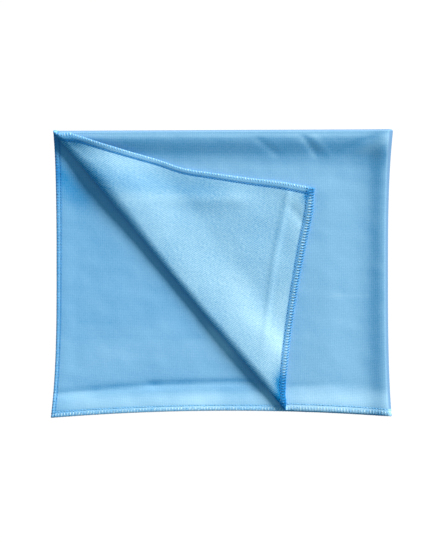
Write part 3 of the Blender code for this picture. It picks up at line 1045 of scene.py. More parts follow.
LOOPER_STEPS = (
    ThreadStep(0.00, 0.95, -1.6, Part.DEEP),
    ThreadStep(0.22, 0.72, -1.2, Part.DASH),
    ThreadStep(0.34, 0.62, 0.25, Part.DASH),
    ThreadStep(0.42, 0.38, 0.35, Part.DASH),
    ThreadStep(0.48, 0.29, 0.25, Part.RIM),
    ThreadStep(0.58, 0.06, -0.2, Part.RIM),
    ThreadStep(0.64, 0.00, 0.0, Part.RIM, turn=0),
    ThreadStep(0.80, 0.20, -1.8, Part.DEEP),
)
NEEDLE_STEPS = (
    ThreadStep(0.00, 1.00, -1.6, Part.LINE),
    ThreadStep(0.22, 0.97, 0.2, Part.LINE),
    ThreadStep(0.66, 1.03, 0.2, Part.LINE),
    ThreadStep(0.84, 1.00, -1.2, Part.LINE),
)
THREADS = (
    ("looper_inner", LOOPER_STEPS, Side.INNER, 21),
    ("looper_outer", LOOPER_STEPS, Side.OUTER, 22),
    ("needle_inner", NEEDLE_STEPS, Side.INNER, 23),
    ("needle_outer", NEEDLE_STEPS, Side.OUTER, 24),
)

# Painted light and shade: each stretch's shades stand partly for how light falls on that edge.
HIDDEN = Seam(dash=0.5, rim=0.4, needle=0.3, line=0.4, band=0.3)
FLAP_UPPER = Seam(dash=0.55, rim=0.88, needle=0.10, line=1.0, band=0.5, sunk=1.0)
FLAP_RIGHT = Seam(dash=1.0, rim=0.10, needle=0.20, line=0.60, band=0.7)
SECOND_LEFT = Seam(dash=0.48, rim=0.22, needle=0.25, line=0.45, band=0.35, sunk=0.4)
SECOND_BOTTOM = Seam(dash=0.85, rim=0.75, needle=0.60, line=0.10, band=0.0, uneven=0.25, sunk=0.5)
TOP_BOTTOM = Seam(dash=0.90, rim=0.75, needle=0.60, line=0.10, band=0.0, uneven=0.20, sunk=0.3)
SEEN_SEAMS = {
    (Edge.NEAR, Side.INNER): (HIDDEN, FLAP_RIGHT),
    (Edge.END, Side.INNER): (FLAP_UPPER, SECOND_LEFT),
    (Edge.FAR, Side.INNER): (HIDDEN, SECOND_BOTTOM),
    (Edge.NEAR, Side.OUTER): (HIDDEN, TOP_BOTTOM),
}


def seams_of(edge: Edge, side: Side) -> tuple[Seam, Seam]:
    """Shades of the first and the second half of an edge, on one face."""
    return SEEN_SEAMS.get((edge, side), (HIDDEN, HIDDEN))


# --- meshes ----------------------------------------------------------------------------------


def add_object(name: str, data: bpy.types.ID) -> bpy.types.Object:
    """Put an object into the scene.

    Args:
        name: its name.
        data: its mesh, light or camera.

    Returns:
        The object.
    """
    made = bpy.data.objects.new(name, data)
    bpy.context.scene.collection.objects.link(made)
    return made


def add_piece(name: str, points: Array, faces: Array, materials: Sequence) -> bpy.types.Object:
    """Add a smooth piece to the scene.

    Args:
        name: the piece's name.
        points: its points, in rows.
        faces: its triangles, in rows of point numbers.
        materials: its finishes.

    Returns:
        The piece's object.
    """
    mesh = bpy.data.meshes.new(name)
    mesh.from_pydata(points.tolist(), [], faces.tolist())
    mesh.shade_smooth()
    for material in materials:
        mesh.materials.append(material)
    log.info("%s: %d points, %d triangles", name, len(points), len(faces))
    return add_object(name, mesh)


def paint(mesh: bpy.types.Mesh, name: str, values: Array) -> None:
    """Give a mesh's points an attribute of one number or three."""
    kind, key = ("FLOAT", "value") if values.ndim == 1 else ("FLOAT_VECTOR", "vector")
    mesh.attributes.new(name, kind, "POINT").data.foreach_set(key, values.astype(np.float32).ravel())


@dataclass
class ClothPiece:
    """The cloth as one thin closed sheet, with its two faces and its cut edge.

    Its flat mesh is a grid with closer rows at the folds and hems, thinned where nothing shows, and
    rows of its own along the crease.
    """

    cloth: FoldedCloth
    painted_shade: PaintedShade = PaintedShade()
    name: str = "folded_cloth"
    spacing: float = 2.4 * MM
    thinning: int = 4
    turn_steps: int = 8
    crease_turn_steps: int = 9
    bend_ways: tuple[float, ...] = tuple(way * MM for way in (1.2, 2.6, 4.2, 6.0))
    hem_shares: tuple[float, ...] = (1.35, 1.12, 1.0, 0.88, 0.72, 0.5, 0.3, 0.14, 0.05, 0.0)
    hem_slack: float = 1.001
    flap_ways: tuple[float, ...] = tuple(way * MM for way in (1.5, 3.2, 5.2, 7.4, 9.7, 12))
    front_ways: tuple[float, ...] = tuple(way * MM for way in (1.5, 3.4))
    even_way: float = 12 * MM
    start_cover: float = 30 * MM
    top_cover: float = 16 * MM
    flap_cover: float = 14 * MM
    flap_cover_end: float = 48 * MM
    flap_cover_line: tuple[float, float] = (60 * MM, 60 * MM)
    flap_cover_fall: float = 0.1
    row_ends: float = 0.25
    row_closest: float = 0.08
    row_passes: int = 20
    same_point: float = 1e-7

    def rows(self, half: float, turn: float) -> list[float]:
        """Rows across a fold in the middle of the cloth.

        Args:
            half: half the cloth's size across the fold.
            turn: length of cloth in a quarter turn of the fold.

        Returns:
            The places of the rows, from one hem to the other.
        """
        way = [turn * i / self.turn_steps for i in range(1, self.turn_steps + 1)]
        way += [turn + bend for bend in self.bend_ways]
        hems = [half - self.cloth.cut.hem_width * share for share in self.hem_shares]
        count = math.ceil((hems[0] - way[-1]) / self.spacing)
        way += [way[-1] + (hems[0] - way[-1]) * i / count for i in range(1, count)]
        way += hems
        return [half - w for w in reversed(way)] + [half] + [half + w for w in way]

    def kept_rows(self, count: int) -> Array:
        """Rows that a thinned grid keeps: hems, turns and every few of the rest.

        Args:
            count: the number of rows.

        Returns:
            The mask.
        """
        index = np.arange(count)
        from_edge = np.minimum(index, count - 1 - index)
        at_fold = np.abs(index - count // 2) <= self.turn_steps + len(self.bend_ways)
        return (from_edge < len(self.hem_shares)) | at_fold | (from_edge % self.thinning == 0)

    def hidden(self, a: Array, b: Array) -> Array:
        """True where no view reaches the cloth, so that a coarser mesh is enough.

        Args:
            a: places along the cloth's length.
            b: places along its width.

        Returns:
            The mask: the lower half, the second quarter under the top one, and the top one under the
            flap, all away from the folds and the crease's start.
        """
        corner, cut = self.cloth.corner, self.cloth.cut
        off_a, off_b = a - cut.length / 2, b - cut.width / 2
        x, y = corner.plan_of(np.abs(off_a), np.abs(off_b))
        s, q = corner.to_crease(x, y)
        line_x, line_y = self.flap_cover_line
        below_hem = y < line_y - (x - line_x) * self.flap_cover_fall
        under_flap = (q > self.flap_cover) & (x < self.flap_cover_end) & below_hem
        covered = (off_a > 0) & np.where(off_b > 0, q > self.top_cover, under_flap)
        off_folds = (np.abs(off_a) > self.even_way) & (np.abs(off_b) > self.even_way)
        return ((off_a < 0) | covered) & (s > self.start_cover) & off_folds

    def crease_row(self, way_in: Callable[[Array], Array]) -> tuple[Array, Array]:
        """One row of places along the crease.

        Args:
            way_in: gives the row's way into the pack for ways along the crease.

        Returns:
            Flat places a and b, from the left hem to the bottom hem.
        """
        corner, cut = self.cloth.corner, self.cloth.cut
        start, end = 0.0, corner.run
        for _ in range(self.row_passes):
            start = float(way_in(np.array([start]))[0]) * corner.way[1] / corner.way[0]
            q = float(way_in(np.array([end]))[0])
            end = (corner.foot_y - corner.start_y - q * corner.way[0]) / corner.way[1]
        even = np.linspace(0, 1, round(corner.run / self.spacing) + 1)
        crowded = (1 - np.cos(math.pi * even)) / 2
        s = start + (end - start) * (even + crowded) / 2
        u, v = corner.cloth_of(*corner.from_crease(s, way_in(s)))
        v = v / (1 - TOP_TRIM / (cut.width / 2))
        a, b = cut.length / 2 + u, cut.width / 2 - v
        a[0], b[-1] = cut.length, 0.0
        return a, b

    def way_past(self, s: Array, turn_share: float, way: float) -> Array:
        """Way into the pack of a row in or beside the crease's turn.

        Args:
            s: ways along the crease.
            turn_share: the share of the turn at which the row lies.
            way: its way past that place, which shrinks towards the crease's ends.

        Returns:
            The way into the pack, on the cloth before it is turned back.
        """
        section, run = self.cloth.corner.section(s), self.cloth.corner.run
        ends = np.clip(np.minimum(s, run - s) / (run * self.row_ends), self.row_closest, 1.0)
        return section.reach - 2 * section.quarter * turn_share - way * ends

    def crease_rows(self) -> list[tuple[Array, Array]]:
        """The rows in and beside the crease's turn.

        Returns:
            The flat places a and b of each row: those in the turn, on the flap and in front.
        """
        steps = 2 * self.crease_turn_steps
        lies = [(i / steps, 0.0) for i in range(steps + 1)]
        lies += [(1.0, way) for way in self.flap_ways]
        lies += [(0.0, -way) for way in self.front_ways]
        return [self.crease_row(lambda s, lie=lie: self.way_past(s, *lie)) for lie in lies]

    def near_crease(self, a: Array, b: Array) -> Array:
        """Places that the crease's own rows cover.

        Args:
            a: places along the cloth's length.
            b: places along its width.

        Returns:
            The mask.
        """
        corner = self.cloth.corner
        s, q = corner.to_crease(*corner.plan_of(*self.cloth.trimmed(a, b)))
        low = self.way_past(s, 1.0, self.flap_ways[-1] + self.spacing / 2)
        high = self.way_past(s, 0.0, -self.front_ways[-1] - self.spacing / 2)
        over, near = a > self.cloth.cut.length / 2, b < self.cloth.cut.width / 2
        return over & near & (q > low) & (q < high)

    def flat_mesh(self) -> tuple[Array, Array]:
        """Triangulate the open cloth: a grid, with rows of its own along the crease.

        Returns:
            The flat places as an (n, 2) array, and the triangles as an (m, 3) one.
        """
        cut, side = self.cloth.cut, self.cloth.corner.side
        a_rows = self.rows(cut.length / 2, side.turn)
        b_rows = self.rows(cut.width / 2, side.top.turn)
        grid_a, grid_b = (g.ravel() for g in np.meshgrid(a_rows, b_rows))
        main_a, main_b = np.meshgrid(self.kept_rows(len(a_rows)), self.kept_rows(len(b_rows)))
        main = (main_a & main_b).ravel()
        keep = ~self.near_crease(grid_a, grid_b) & (main | ~self.hidden(grid_a, grid_b))
        grid_a, grid_b = self.fit_hems(grid_a, grid_b)
        points = list(zip(grid_a[keep], grid_b[keep]))
        ties = []
        for row_a, row_b in self.crease_rows():
            first = len(points)
            points += list(zip(row_a, row_b))
            ties += [(i, i + 1) for i in range(first, len(points) - 1)]
        flat = [Vector((float(a), float(b))) for a, b in points]
        places, _, faces, *_ = delaunay_2d_cdt(flat, ties, [], 0, self.same_point)
        return np.array([(p.x, p.y) for p in places]), np.array(faces)

    def fit_hems(self, a: Array, b: Array) -> tuple[Array, Array]:
        """Move the grid's hem rows in or out, to each hem's own width.

        Args:
            a: places along the cloth's length.
            b: places along its width.

        Returns:
            The moved places.
        """
        cut = self.cloth.cut
        zone = cut.hem_width * self.hem_shares[0] * self.hem_slack
        new_a, new_b = a.copy(), b.copy()
        for edge in Edge:
            way = cut.way_in(edge, a, b)
            out = np.where(way <= zone, way * (1 - cut.hem_at(edge, a, b) / cut.hem_width), 0.0)
            _, _, (inward_a, inward_b) = edge.value
            new_a -= inward_a * out
            new_b -= inward_b * out
        return new_a, new_b

    def build(self, shift: Array, materials: Sequence[bpy.types.Material]) -> bpy.types.Object:
        """Make the sheet.

        Args:
            shift: moves the folded surface to its place in the frame.
            materials: finishes of the INNER face, the OUTER face and the edge, in that order.

        Returns:
            The cloth's object.
        """
        places, triangles = self.flat_mesh()
        a, b = places[:, 0], places[:, 1]
        middle, normal = self.cloth.surface(a, b) + shift, self.cloth.normals(a, b)
        half = self.cloth.cut.half_thickness(a, b)[:, None]
        points = np.concatenate([middle + normal * half, middle - normal * half])
        inner, outer = triangles, triangles[:, ::-1] + len(places)
        start, end = self.rim(triangles).T
        under_start, under_end = start + len(places), end + len(places)
        walls = (np.column_stack((end, start, under_start)), np.column_stack((end, under_start, under_end)))
        rim = np.concatenate(walls)
        faces = np.concatenate([inner, outer, rim])
        piece = add_piece(self.name, points, faces, materials)
        finishes = np.repeat((0, 1, 2), (len(inner), len(outer), len(rim)))
        piece.data.polygons.foreach_set("material_index", finishes)
        values = self.painted_shade_and_tints(a, b, middle, normal)
        paint(piece.data, PAINTED_SHADE_AND_TINTS, values[:, :3])
        paint(piece.data, RIM, values[:, 3])
        flat = np.concatenate([places, places])[faces.ravel()]
        layer = piece.data.uv_layers.new(name=FLAT_MAP)
        layer.uv.foreach_set("vector", flat.astype(np.float32).ravel())
        return piece

    def painted_shade_and_tints(self, a: Array, b: Array, middle: Array, normal: Array) -> Array:
        """What the finishes read at each point of the sheet.

        Args:
            a: places along the cloth's length.
            b: places along its width.
            middle: the same places on the folded surface.
            normal: its unit normals there.

        Returns:
            For the INNER face's points and then the OUTER face's: the painted light and shade, and how
            deep the needle's line, the hem's band and the rim are tinted. The rim is the hem's, and inside
            the hems it is the painted shade where the cloth turns down round a fold.
        """
        cut = self.cloth.cut
        inside = cut.hem_share(a, b) > 1
        faces = []
        for side, tone in zip((Side.INNER, Side.OUTER), self.painted_shade.at(a, b, middle, normal, cut)):
            tints, nearest = np.zeros((len(a), 3)), np.full_like(a, np.inf)
            for edge in Edge:
                way = cut.way_in(edge, a, b)
                in_first = (a if edge.lengthwise else b) < cut.half(edge)
                first, second = seams_of(edge, side)
                chosen = np.where(in_first[:, None], first.tints, second.tints)
                tints = np.where((way < nearest)[:, None], chosen, tints)
                nearest = np.minimum(nearest, way)
            # painted shade on the OUTER face where it turns down round a fold
            fold_shade = self.painted_shade.fold_shade(normal) if side is Side.OUTER else np.zeros_like(a)
            tints[:, 2] = np.where(inside, fold_shade, tints[:, 2])
            faces.append(np.column_stack((tone, tints)))
        return np.concatenate(faces)

    @staticmethod
    def rim(triangles: Array) -> Array:
        """The directed edges that belong to one triangle only.

        Args:
            triangles: rows of three point numbers.

        Returns:
            Rows of two point numbers, in rising order.
        """
        edges = np.concatenate([triangles[:, (0, 1)], triangles[:, (1, 2)], triangles[:, (2, 0)]])
        known = set(map(tuple, edges.tolist()))
        return np.array(sorted(edge for edge in known if (edge[1], edge[0]) not in known))


@dataclass
class OverlockThread:
    """One thread of the overlock stitch, sewn all round the cloth.

    The plays are how unevenly it is sewn, as shares of the stitch's length and the hem's width, and
    the needle's play is its share of a seam's unevenness in shade. The painted shade share is how
    much of the cloth's painted shade darkens the thread too.
    """

    cloth: FoldedCloth
    name: str
    steps: tuple[ThreadStep, ...]
    side: Side
    seed: int
    radius: float = 0.32 * MM
    sides: int = 4
    corner_gap: float = 0.5
    along_play: float = 0.05
    inward_play: float = 0.03
    needle_play: float = 0.2
    inner_step: float = 0.5 * MM
    painted_shade: PaintedShade = PaintedShade()
    painted_shade_share: float = 0.35

    def centre_line(self, edge: Edge, draw: np.random.Generator) -> tuple[Array, Array, Array]:
        """The thread's middle line along one edge.

        Args:
            edge: the edge that it is sewn along.
            draw: the source of its unevenness.

        Returns:
            The points, the direction in which the thread stands off the cloth at each, and their
            shades.
        """
        cut, steps = self.cloth.cut, self.steps
        start, way, inward = (np.array(part, float) for part in edge.value)
        stitches = round(2 * cut.half(edge) / cut.stitch)
        numbers = np.arange(stitches)[:, None]
        play = draw.normal(0.0, 1.0, (3, stitches, len(steps)))
        along = numbers + np.array([s.along for s in steps]) + self.along_play * play[0]
        along = np.clip(along, self.corner_gap, stitches - self.corner_gap).ravel() * cut.stitch
        at_edge = start * (cut.length, cut.width) + along[:, None] * way
        hem = cut.hem_at(edge, at_edge[:, 0], at_edge[:, 1])
        inwards = np.array([s.inward for s in steps])
        share = (inwards + self.inward_play * play[1] * (inwards > 0)).ravel()
        flat = at_edge + (share * hem)[:, None] * inward

        seams, half = seams_of(edge, self.side), (numbers[:, 0] >= stitches / 2).astype(int)
        loose = np.array([self.needle_play if s.part is Part.LINE else 1.0 for s in steps])
        shades = np.array([[seam.shade(s.part) for s in steps] for seam in seams])[half]
        unevenness = np.array([seam.uneven * loose for seam in seams])[half]
        lifts = np.array([[s.lift - seam.sunk * (s.part is Part.DASH) for s in steps] for seam in seams])
        turn = np.tile([90.0 if s.turn is None else s.turn for s in steps], stitches)

        a, b = flat[:, 0], flat[:, 1]
        middle, normal = self.cloth.surface(a, b), self.cloth.normals(a, b)
        # painted shade: the thread darkens where the cloth's painted shade is deep
        tone = self.painted_shade.at(a, b, middle, normal, cut)[0 if self.side is Side.INNER else 1]
        shade = (shades + unevenness * play[2]).ravel() + self.painted_shade_share * np.minimum(tone, 0.0)
        normal = normal * self.side.value
        inner = flat + self.inner_step * inward
        out = unit(middle - self.cloth.surface(inner[:, 0], inner[:, 1]))
        cosine, sine = np.cos(np.radians(turn))[:, None], np.sin(np.radians(turn))[:, None]
        rise = (cut.half_thickness(a, b) + lifts[half].ravel() * self.radius)[:, None]
        line = middle + rise * normal * sine
        line[:, 2] = np.maximum(line[:, 2], self.radius)
        return line, out * cosine + normal * sine, shade

    def tube(self, line: Array, stand: Array, first: int) -> tuple[Array, Array]:
        """Sweep a round section along a line.

        Args:
            line: the points of the middle line.
            stand: the direction of the section's top at each.
            first: the number that the tube's first point gets.

        Returns:
            The points and the triangles of a closed tube.
        """
        ways = unit(np.gradient(line, axis=0))
        across = unit(np.cross(ways, stand))
        up = np.cross(across, ways)
        sides = self.sides
        angles = 2 * math.pi * (np.arange(sides) + 0.5) / sides
        rings = (
            line[:, None]
            + self.radius * np.cos(angles)[None, :, None] * up[:, None]
            + self.radius * np.sin(angles)[None, :, None] * across[:, None]
        )
        points = np.concatenate([rings.reshape(-1, 3), line[:1], line[-1:]])
        ring = np.arange(len(line) - 1)[:, None] * sides
        here, after = np.arange(sides), (np.arange(sides) + 1) % sides
        p, q = (ring + here).ravel(), (ring + after).ravel()
        walls = (np.column_stack((p, q, q + sides)), np.column_stack((p, q + sides, p + sides)))
        last = (len(line) - 1) * sides
        head, tail = len(line) * sides, len(line) * sides + 1
        caps = [(head, after[i], here[i]) for i in range(sides)]
        caps += [(tail, last + here[i], last + after[i]) for i in range(sides)]
        return points, np.concatenate([*walls, np.array(caps)]) + first

    def build(self, shift: Array, material: bpy.types.Material) -> bpy.types.Object:
        """Sew the thread round the whole cloth.

        Args:
            shift: moves the folded surface to its place in the frame.
            material: the thread's finish.

        Returns:
            The thread's object.
        """
        points, faces, tones, count = [], [], [], 0
        draw = np.random.default_rng(self.seed)
        for edge in Edge:
            line, stand, shade = self.centre_line(edge, draw)
            made, walls = self.tube(line + shift, stand, count)
            points.append(made)
            faces.append(walls)
            tones += [np.repeat(shade, self.sides), shade[:1], shade[-1:]]
            count += len(made)
        piece = add_piece(self.name, np.concatenate(points), np.concatenate(faces), [material])
        paint(piece.data, TONE, np.concatenate(tones))
        return piece


# --- finishes --------------------------------------------------------------------------------


class Wire:
    """A shader socket that can be used in Python expressions on values."""

    def __init__(self, board: "Board", socket: bpy.types.NodeSocket) -> None:
        """Wrap a socket of one material's node tree."""
        self.board = board
        self.socket = socket

    def maths(self, operation: str, *others: "Value") -> "Wire":
        """Add a Math node with this socket as its first value."""
        return self.board.node("ShaderNodeMath", {"operation": operation}, (self, *others))

    def __add__(self, other: "Value") -> "Wire":
        """This plus another."""
        return self.maths("ADD", other)

    def __sub__(self, other: "Value") -> "Wire":
        """This less another."""
        return self.maths("SUBTRACT", other)

    def __rsub__(self, other: float) -> "Wire":
        """A number less this."""
        return self.board.node("ShaderNodeMath", {"operation": "SUBTRACT"}, (other, self))

    def __mul__(self, other: "Value") -> "Wire":
        """This times another."""
        return self.maths("MULTIPLY", other)

    def __truediv__(self, other: "Value") -> "Wire":
        """This over another."""
        return self.maths("DIVIDE", other)

    __radd__ = __add__
    __rmul__ = __mul__

    def least(self, other: "Value") -> "Wire":
        """The smaller of the two."""
        return self.maths("MINIMUM", other)

    def most(self, other: "Value") -> "Wire":
        """The larger of the two."""
        return self.maths("MAXIMUM", other)

    def wave(self, pitch: float, phase: "Value") -> "Wire":
        """A wave from 0 to 1 along this way, with a phase in radians."""
        return (self * (2 * math.pi / pitch) + phase).maths("SINE") * 0.5 + 0.5

    def run(self, start: float, end: float) -> "Wire":
        """Run smoothly from 0 at start to 1 at end.

        Args:
            start: the value up to which the result is 0.
            end: the value from which it is 1, which may be the lower one.

        Returns:
            The share.
        """
        share = self.board.node(
            "ShaderNodeMapRange",
            {"interpolation_type": "SMOOTHSTEP"},
            {"Value": self, "From Min": min(start, end), "From Max": max(start, end)},
        )
        return share if start < end else 1 - share


Value = Union[Wire, float]
Place = Union[Wire, Array, float]


@dataclass(frozen=True)
class Grain:
    """A noise: the size of its grains, how many finer ones it adds, and its weight in the tone."""

    size: float
    detail: float
    weight: float = 1.0


class Board:
    """A material's node tree, with one method that adds any node."""

    def __init__(self, name: str) -> None:
        """Start an empty material."""
        self.material = bpy.data.materials.new(name)
        self.material.use_nodes = True
        self.material.node_tree.nodes.clear()

    def node(
        self,
        kind: str,
        settings: Union[dict, None] = None,
        sockets: Union[dict, Sequence, None] = None,
        output: Union[str, int] = 0,
    ) -> Wire:
        """Add a node.

        Args:
            kind: the node's type.
            settings: its properties, which are set before the sockets.
            sockets: values or wires by socket name or number, or in the sockets' order.
            output: the output to hand back.

        Returns:
            The output as a wire.
        """
        made = self.material.node_tree.nodes.new(kind)
        for key, value in (settings or {}).items():
            setattr(made, key, value)
        pairs = sockets.items() if isinstance(sockets, dict) else enumerate(sockets or ())
        for key, value in pairs:
            if isinstance(value, Wire):
                self.material.node_tree.links.new(value.socket, made.inputs[key])
            else:
                made.inputs[key].default_value = value
        return Wire(self, made.outputs[output] if made.outputs else None)

    def parts(self, vector: Wire, axes: str) -> list[Wire]:
        """Numbers of a vector, by the letters of their axes."""
        return [self.node("ShaderNodeSeparateXYZ", None, (vector,), axis) for axis in axes]

    def attribute(self, name: str, output: str) -> Wire:
        """An attribute of the mesh."""
        return self.node("ShaderNodeAttribute", {"attribute_name": name}, None, output)

    def mix(self, share: Value, first: Union[Wire, Colour], second: Union[Wire, Colour]) -> Wire:
        """Mix two colours.

        Args:
            share: how much of the second one.
            first: a wire or a plain colour.
            second: the same.

        Returns:
            The mixed colour.
        """
        first, second = (c if isinstance(c, Wire) else (*c, 1.0) for c in (first, second))
        settings = {"data_type": "RGBA", "clamp_factor": False}
        return self.node("ShaderNodeMix", settings, {0: share, 6: first, 7: second}, 2)

    def grain(self, place: Wire, grain: Grain) -> Wire:
        """A noise from 0 to 1 over a flat place."""
        sockets = {"Vector": place, "Scale": 1 / grain.size, "Detail": grain.detail}
        return self.node("ShaderNodeTexNoise", {"noise_dimensions": "2D"}, sockets, "Fac")

    def finish(self, sockets: dict) -> bpy.types.Material:
        """Join a Principled shader with these sockets to the output.

        Args:
            sockets: values or wires by socket name.

        Returns:
            The finished material.
        """
        surface = self.node("ShaderNodeBsdfPrincipled", None, sockets)
        self.node("ShaderNodeOutputMaterial", None, {"Surface": surface})
        return self.material


@dataclass(frozen=True)
class KnitTones:
    """The colours of the knit, in its hollows and on its crests."""

    hollow: Colour
    crest: Colour


@dataclass(frozen=True)
class ClothFinish:
    """Knitted microfibre, seen on one of its faces.

    The spans are shares of the hem's width between which a tint runs in, and waves are given as a
    gain and a base. The face is brushed as on the turned back corner for b below turned_from.
    """

    name: str
    cut: Cut
    plain: KnitTones
    turned: KnitTones
    turned_from: float = 0.0
    turned_blur: float = 2 * MM
    contrast: float = 1.2
    tone_limits: tuple[float, float] = (-0.9, 2.4)
    clouds: Grain = Grain(30 * MM, 2.0, weight=0.4)
    mottle: Grain = Grain(3.2 * MM, 1.0, weight=0.25)
    specks: Grain = Grain(0.7 * MM, 0.0, weight=0.3)
    hem_band: Colour = (0.13, 0.43, 0.80)
    band_span: tuple[float, float] = (1.0, 0.85)
    needle: Colour = (0.015, 0.235, 0.62)
    needle_spans: tuple[tuple[float, float], ...] = ((0.72, 0.88), (1.32, 1.12))
    needle_wave: tuple[float, float] = (0.6, 0.4)
    rim_span: tuple[float, float] = (0.40, 0.26)
    rim_wave_span: tuple[float, float] = (0.3, 0.75)
    # painted shade: where the painted shade is deep, the hem darkens towards the needle's colour
    shadow_span: tuple[float, float] = (1.1, 0.9)
    shadow_gain: float = -0.6
    # painted shade colour for the outer face where it turns down round a fold
    fold_shade: Colour = (0.14, 0.31, 0.54)
    fold_shade_span: tuple[float, float] = (1.0, 1.3)
    stitch_phase: float = 2.15
    rib_angle: float = math.radians(-48)
    rib_pitch: float = 1.5 * MM
    rib_bend: float = 2.5
    streak: tuple[float, float] = (2.6 * MM, 1.0 * MM)
    streak_grain: Grain = Grain(1.0, 1.0)
    wale_pitch: float = 1.7 * MM
    wale_bend: float = 3.0
    course_share: float = 0.8
    course_bend: float = 2.0
    uneven: Grain = Grain(1.1 * MM, 1.0)
    bends: Grain = Grain(9 * MM, 1.0)
    brushed_weights: tuple[float, ...] = (0.60, 0.9, 0.3, -0.40)
    grid_weights: tuple[float, ...] = (0.2, 0.25, 0.5, 0.03)
    roughness: float = 0.95
    specular: float = 0.15
    sheen: float = 0.03
    sheen_roughness: float = 0.45
    sheen_tint: Colour = (0.75, 0.88, 1.0)
    bump_depth: float = 0.045 * MM
    speck_height: float = 0.4

    def make(self) -> bpy.types.Material:
        """Build the material.

        Returns:
            The finished material.
        """
        board = Board(self.name)
        place = board.node("ShaderNodeUVMap", {"uv_map": FLAT_MAP})
        a, b = board.parts(place, "XY")
        painted_shade, line, band = board.parts(board.attribute(PAINTED_SHADE_AND_TINTS, "Vector"), "XYZ")
        turned = b.run(self.turned_from + self.turned_blur, self.turned_from - self.turned_blur)
        height = self.knit(board, place, a, b, turned)
        clouds, mottle, specks = (
            board.grain(place, grain) for grain in (self.clouds, self.mottle, self.specks)
        )
        blotches = (clouds - 0.5) * self.clouds.weight + (mottle - 0.5) * self.mottle.weight
        blotches = blotches + (specks - 0.5) * self.specks.weight
        lowest, highest = self.tone_limits
        # the painted light and shade is added to the knit's tone here
        tone = ((height - 0.5) * self.contrast + 0.5 + blotches + painted_shade).most(lowest).least(highest)
        plain = board.mix(tone, self.plain.hollow, self.plain.crest)
        brushed = board.mix(tone, self.turned.hollow, self.turned.crest)
        colour = board.mix(turned, plain, brushed)

        share = self.cut.hem_share(a, b, Wire.least)
        rim = board.attribute(RIM, "Fac")
        stitches = (a + b).wave(self.cut.stitch, self.stitch_phase)
        needle_in, needle_out = (share.run(*span) for span in self.needle_spans)
        gain, base = self.needle_wave
        tints = (
            (share.run(*self.band_span) * band, self.hem_band),
            (needle_in * needle_out * line * (stitches * gain + base), self.needle),
            (share.run(*self.rim_span) * stitches.run(*self.rim_wave_span) * rim, self.needle),
            # painted shade: the hem darkens towards the needle's colour where the painted shade is deep
            (share.run(*self.shadow_span) * (painted_shade * self.shadow_gain).most(0.0).least(1.0), self.needle),
            # painted shade on the outer face where it turns down round a fold
            (share.run(*self.fold_shade_span) * rim, self.fold_shade),
        )
        for depth, tint in tints:
            colour = board.mix(depth, colour, tint)
        relief = height + specks * self.speck_height
        bump = {"Strength": 1.0, "Distance": self.bump_depth, "Height": relief}
        return board.finish(
            {
                "Base Color": colour,
                "Roughness": self.roughness,
                "Specular IOR Level": self.specular,
                "Sheen Weight": self.sheen,
                "Sheen Roughness": self.sheen_roughness,
                "Sheen Tint": (*self.sheen_tint, 1.0),
                "Normal": board.node("ShaderNodeBump", None, bump),
            }
        )

    def knit(self, board: Board, place: Wire, a: Wire, b: Wire, turned: Wire) -> Wire:
        """The knit's relief: brushed diagonal ribs on the turned back face, a fine grid elsewhere.

        Args:
            board: the material's node tree.
            place: the flat place on the cloth.
            a: its part along the length.
            b: its part along the width.
            turned: 1 on the turned back face.

        Returns:
            The relief, about 0 to 1.
        """
        uneven, bend = board.grain(place, self.uneven), board.grain(place, self.bends)
        cosine, sine = math.cos(self.rib_angle), math.sin(self.rib_angle)
        along, across = a * cosine + b * sine, b * cosine - a * sine
        ribs = across.wave(self.rib_pitch, bend * self.rib_bend)
        shares = (along / self.streak[0], across / self.streak[1])
        streaks = board.grain(board.node("ShaderNodeCombineXYZ", None, shares), self.streak_grain)
        wales = a.wave(self.wale_pitch, bend * self.wale_bend)
        courses = b.wave(self.wale_pitch * self.course_share, bend * self.course_bend)
        rib, streak, fine, base = self.brushed_weights
        brushed = ribs * rib + streaks * streak + uneven * fine + base
        wale, course, fine, base = self.grid_weights
        grid = wales * wale + courses * course + uneven * fine + base
        return turned * brushed + (1 - turned) * grid


@dataclass(frozen=True)
class ThreadFinish:
    """Bulky polyester sewing thread, in shades from deep blue to nearly white."""

    name: str
    deep: Colour = (0.015, 0.19, 0.54)
    middle: Colour = (0.14, 0.52, 0.92)
    pale: Colour = (0.65, 0.93, 1.0)
    flecks: float = 900.0
    fleck_depth: float = 0.2
    roughness: float = 0.9
    specular: float = 0.1

    def make(self) -> bpy.types.Material:
        """Build the material.

        Returns:
            The finished material.
        """
        board = Board(self.name)
        place = board.node("ShaderNodeTexCoord", None, None, "Object")
        noise = {"Vector": place, "Scale": self.flecks, "Detail": 1.0}
        fleck = board.node("ShaderNodeTexNoise", None, noise, "Fac")
        share = (board.attribute(TONE, "Fac") + (fleck - 0.5) * self.fleck_depth).most(0.0).least(1.0)
        lower = board.mix((share * 2).least(1.0), self.deep, self.middle)
        colour = board.mix((share * 2 - 1).most(0.0), lower, self.pale)
        sockets = {"Base Color": colour, "Roughness": self.roughness, "Specular IOR Level": self.specular}
        return board.finish(sockets)


INNER_PLAIN = KnitTones(hollow=(0.112, 0.385, 0.72), crest=(0.24, 0.545, 0.85))
INNER_TURNED = KnitTones(hollow=(0.16, 0.44, 0.74), crest=(0.37, 0.69, 0.93))
OUTER_PLAIN = KnitTones(hollow=(0.145, 0.42, 0.73), crest=(0.29, 0.59, 0.87))
# The cut edge is painted deep blue, standing in for the shade in the gaps between the loops at the rim.
SHADED_CUT_EDGE = ThreadFinish("cut_edge_painted_shade", (0.03, 0.19, 0.46), (0.05, 0.24, 0.54), (0.08, 0.30, 0.62))


# --- studio ----------------------------------------------------------------------------------


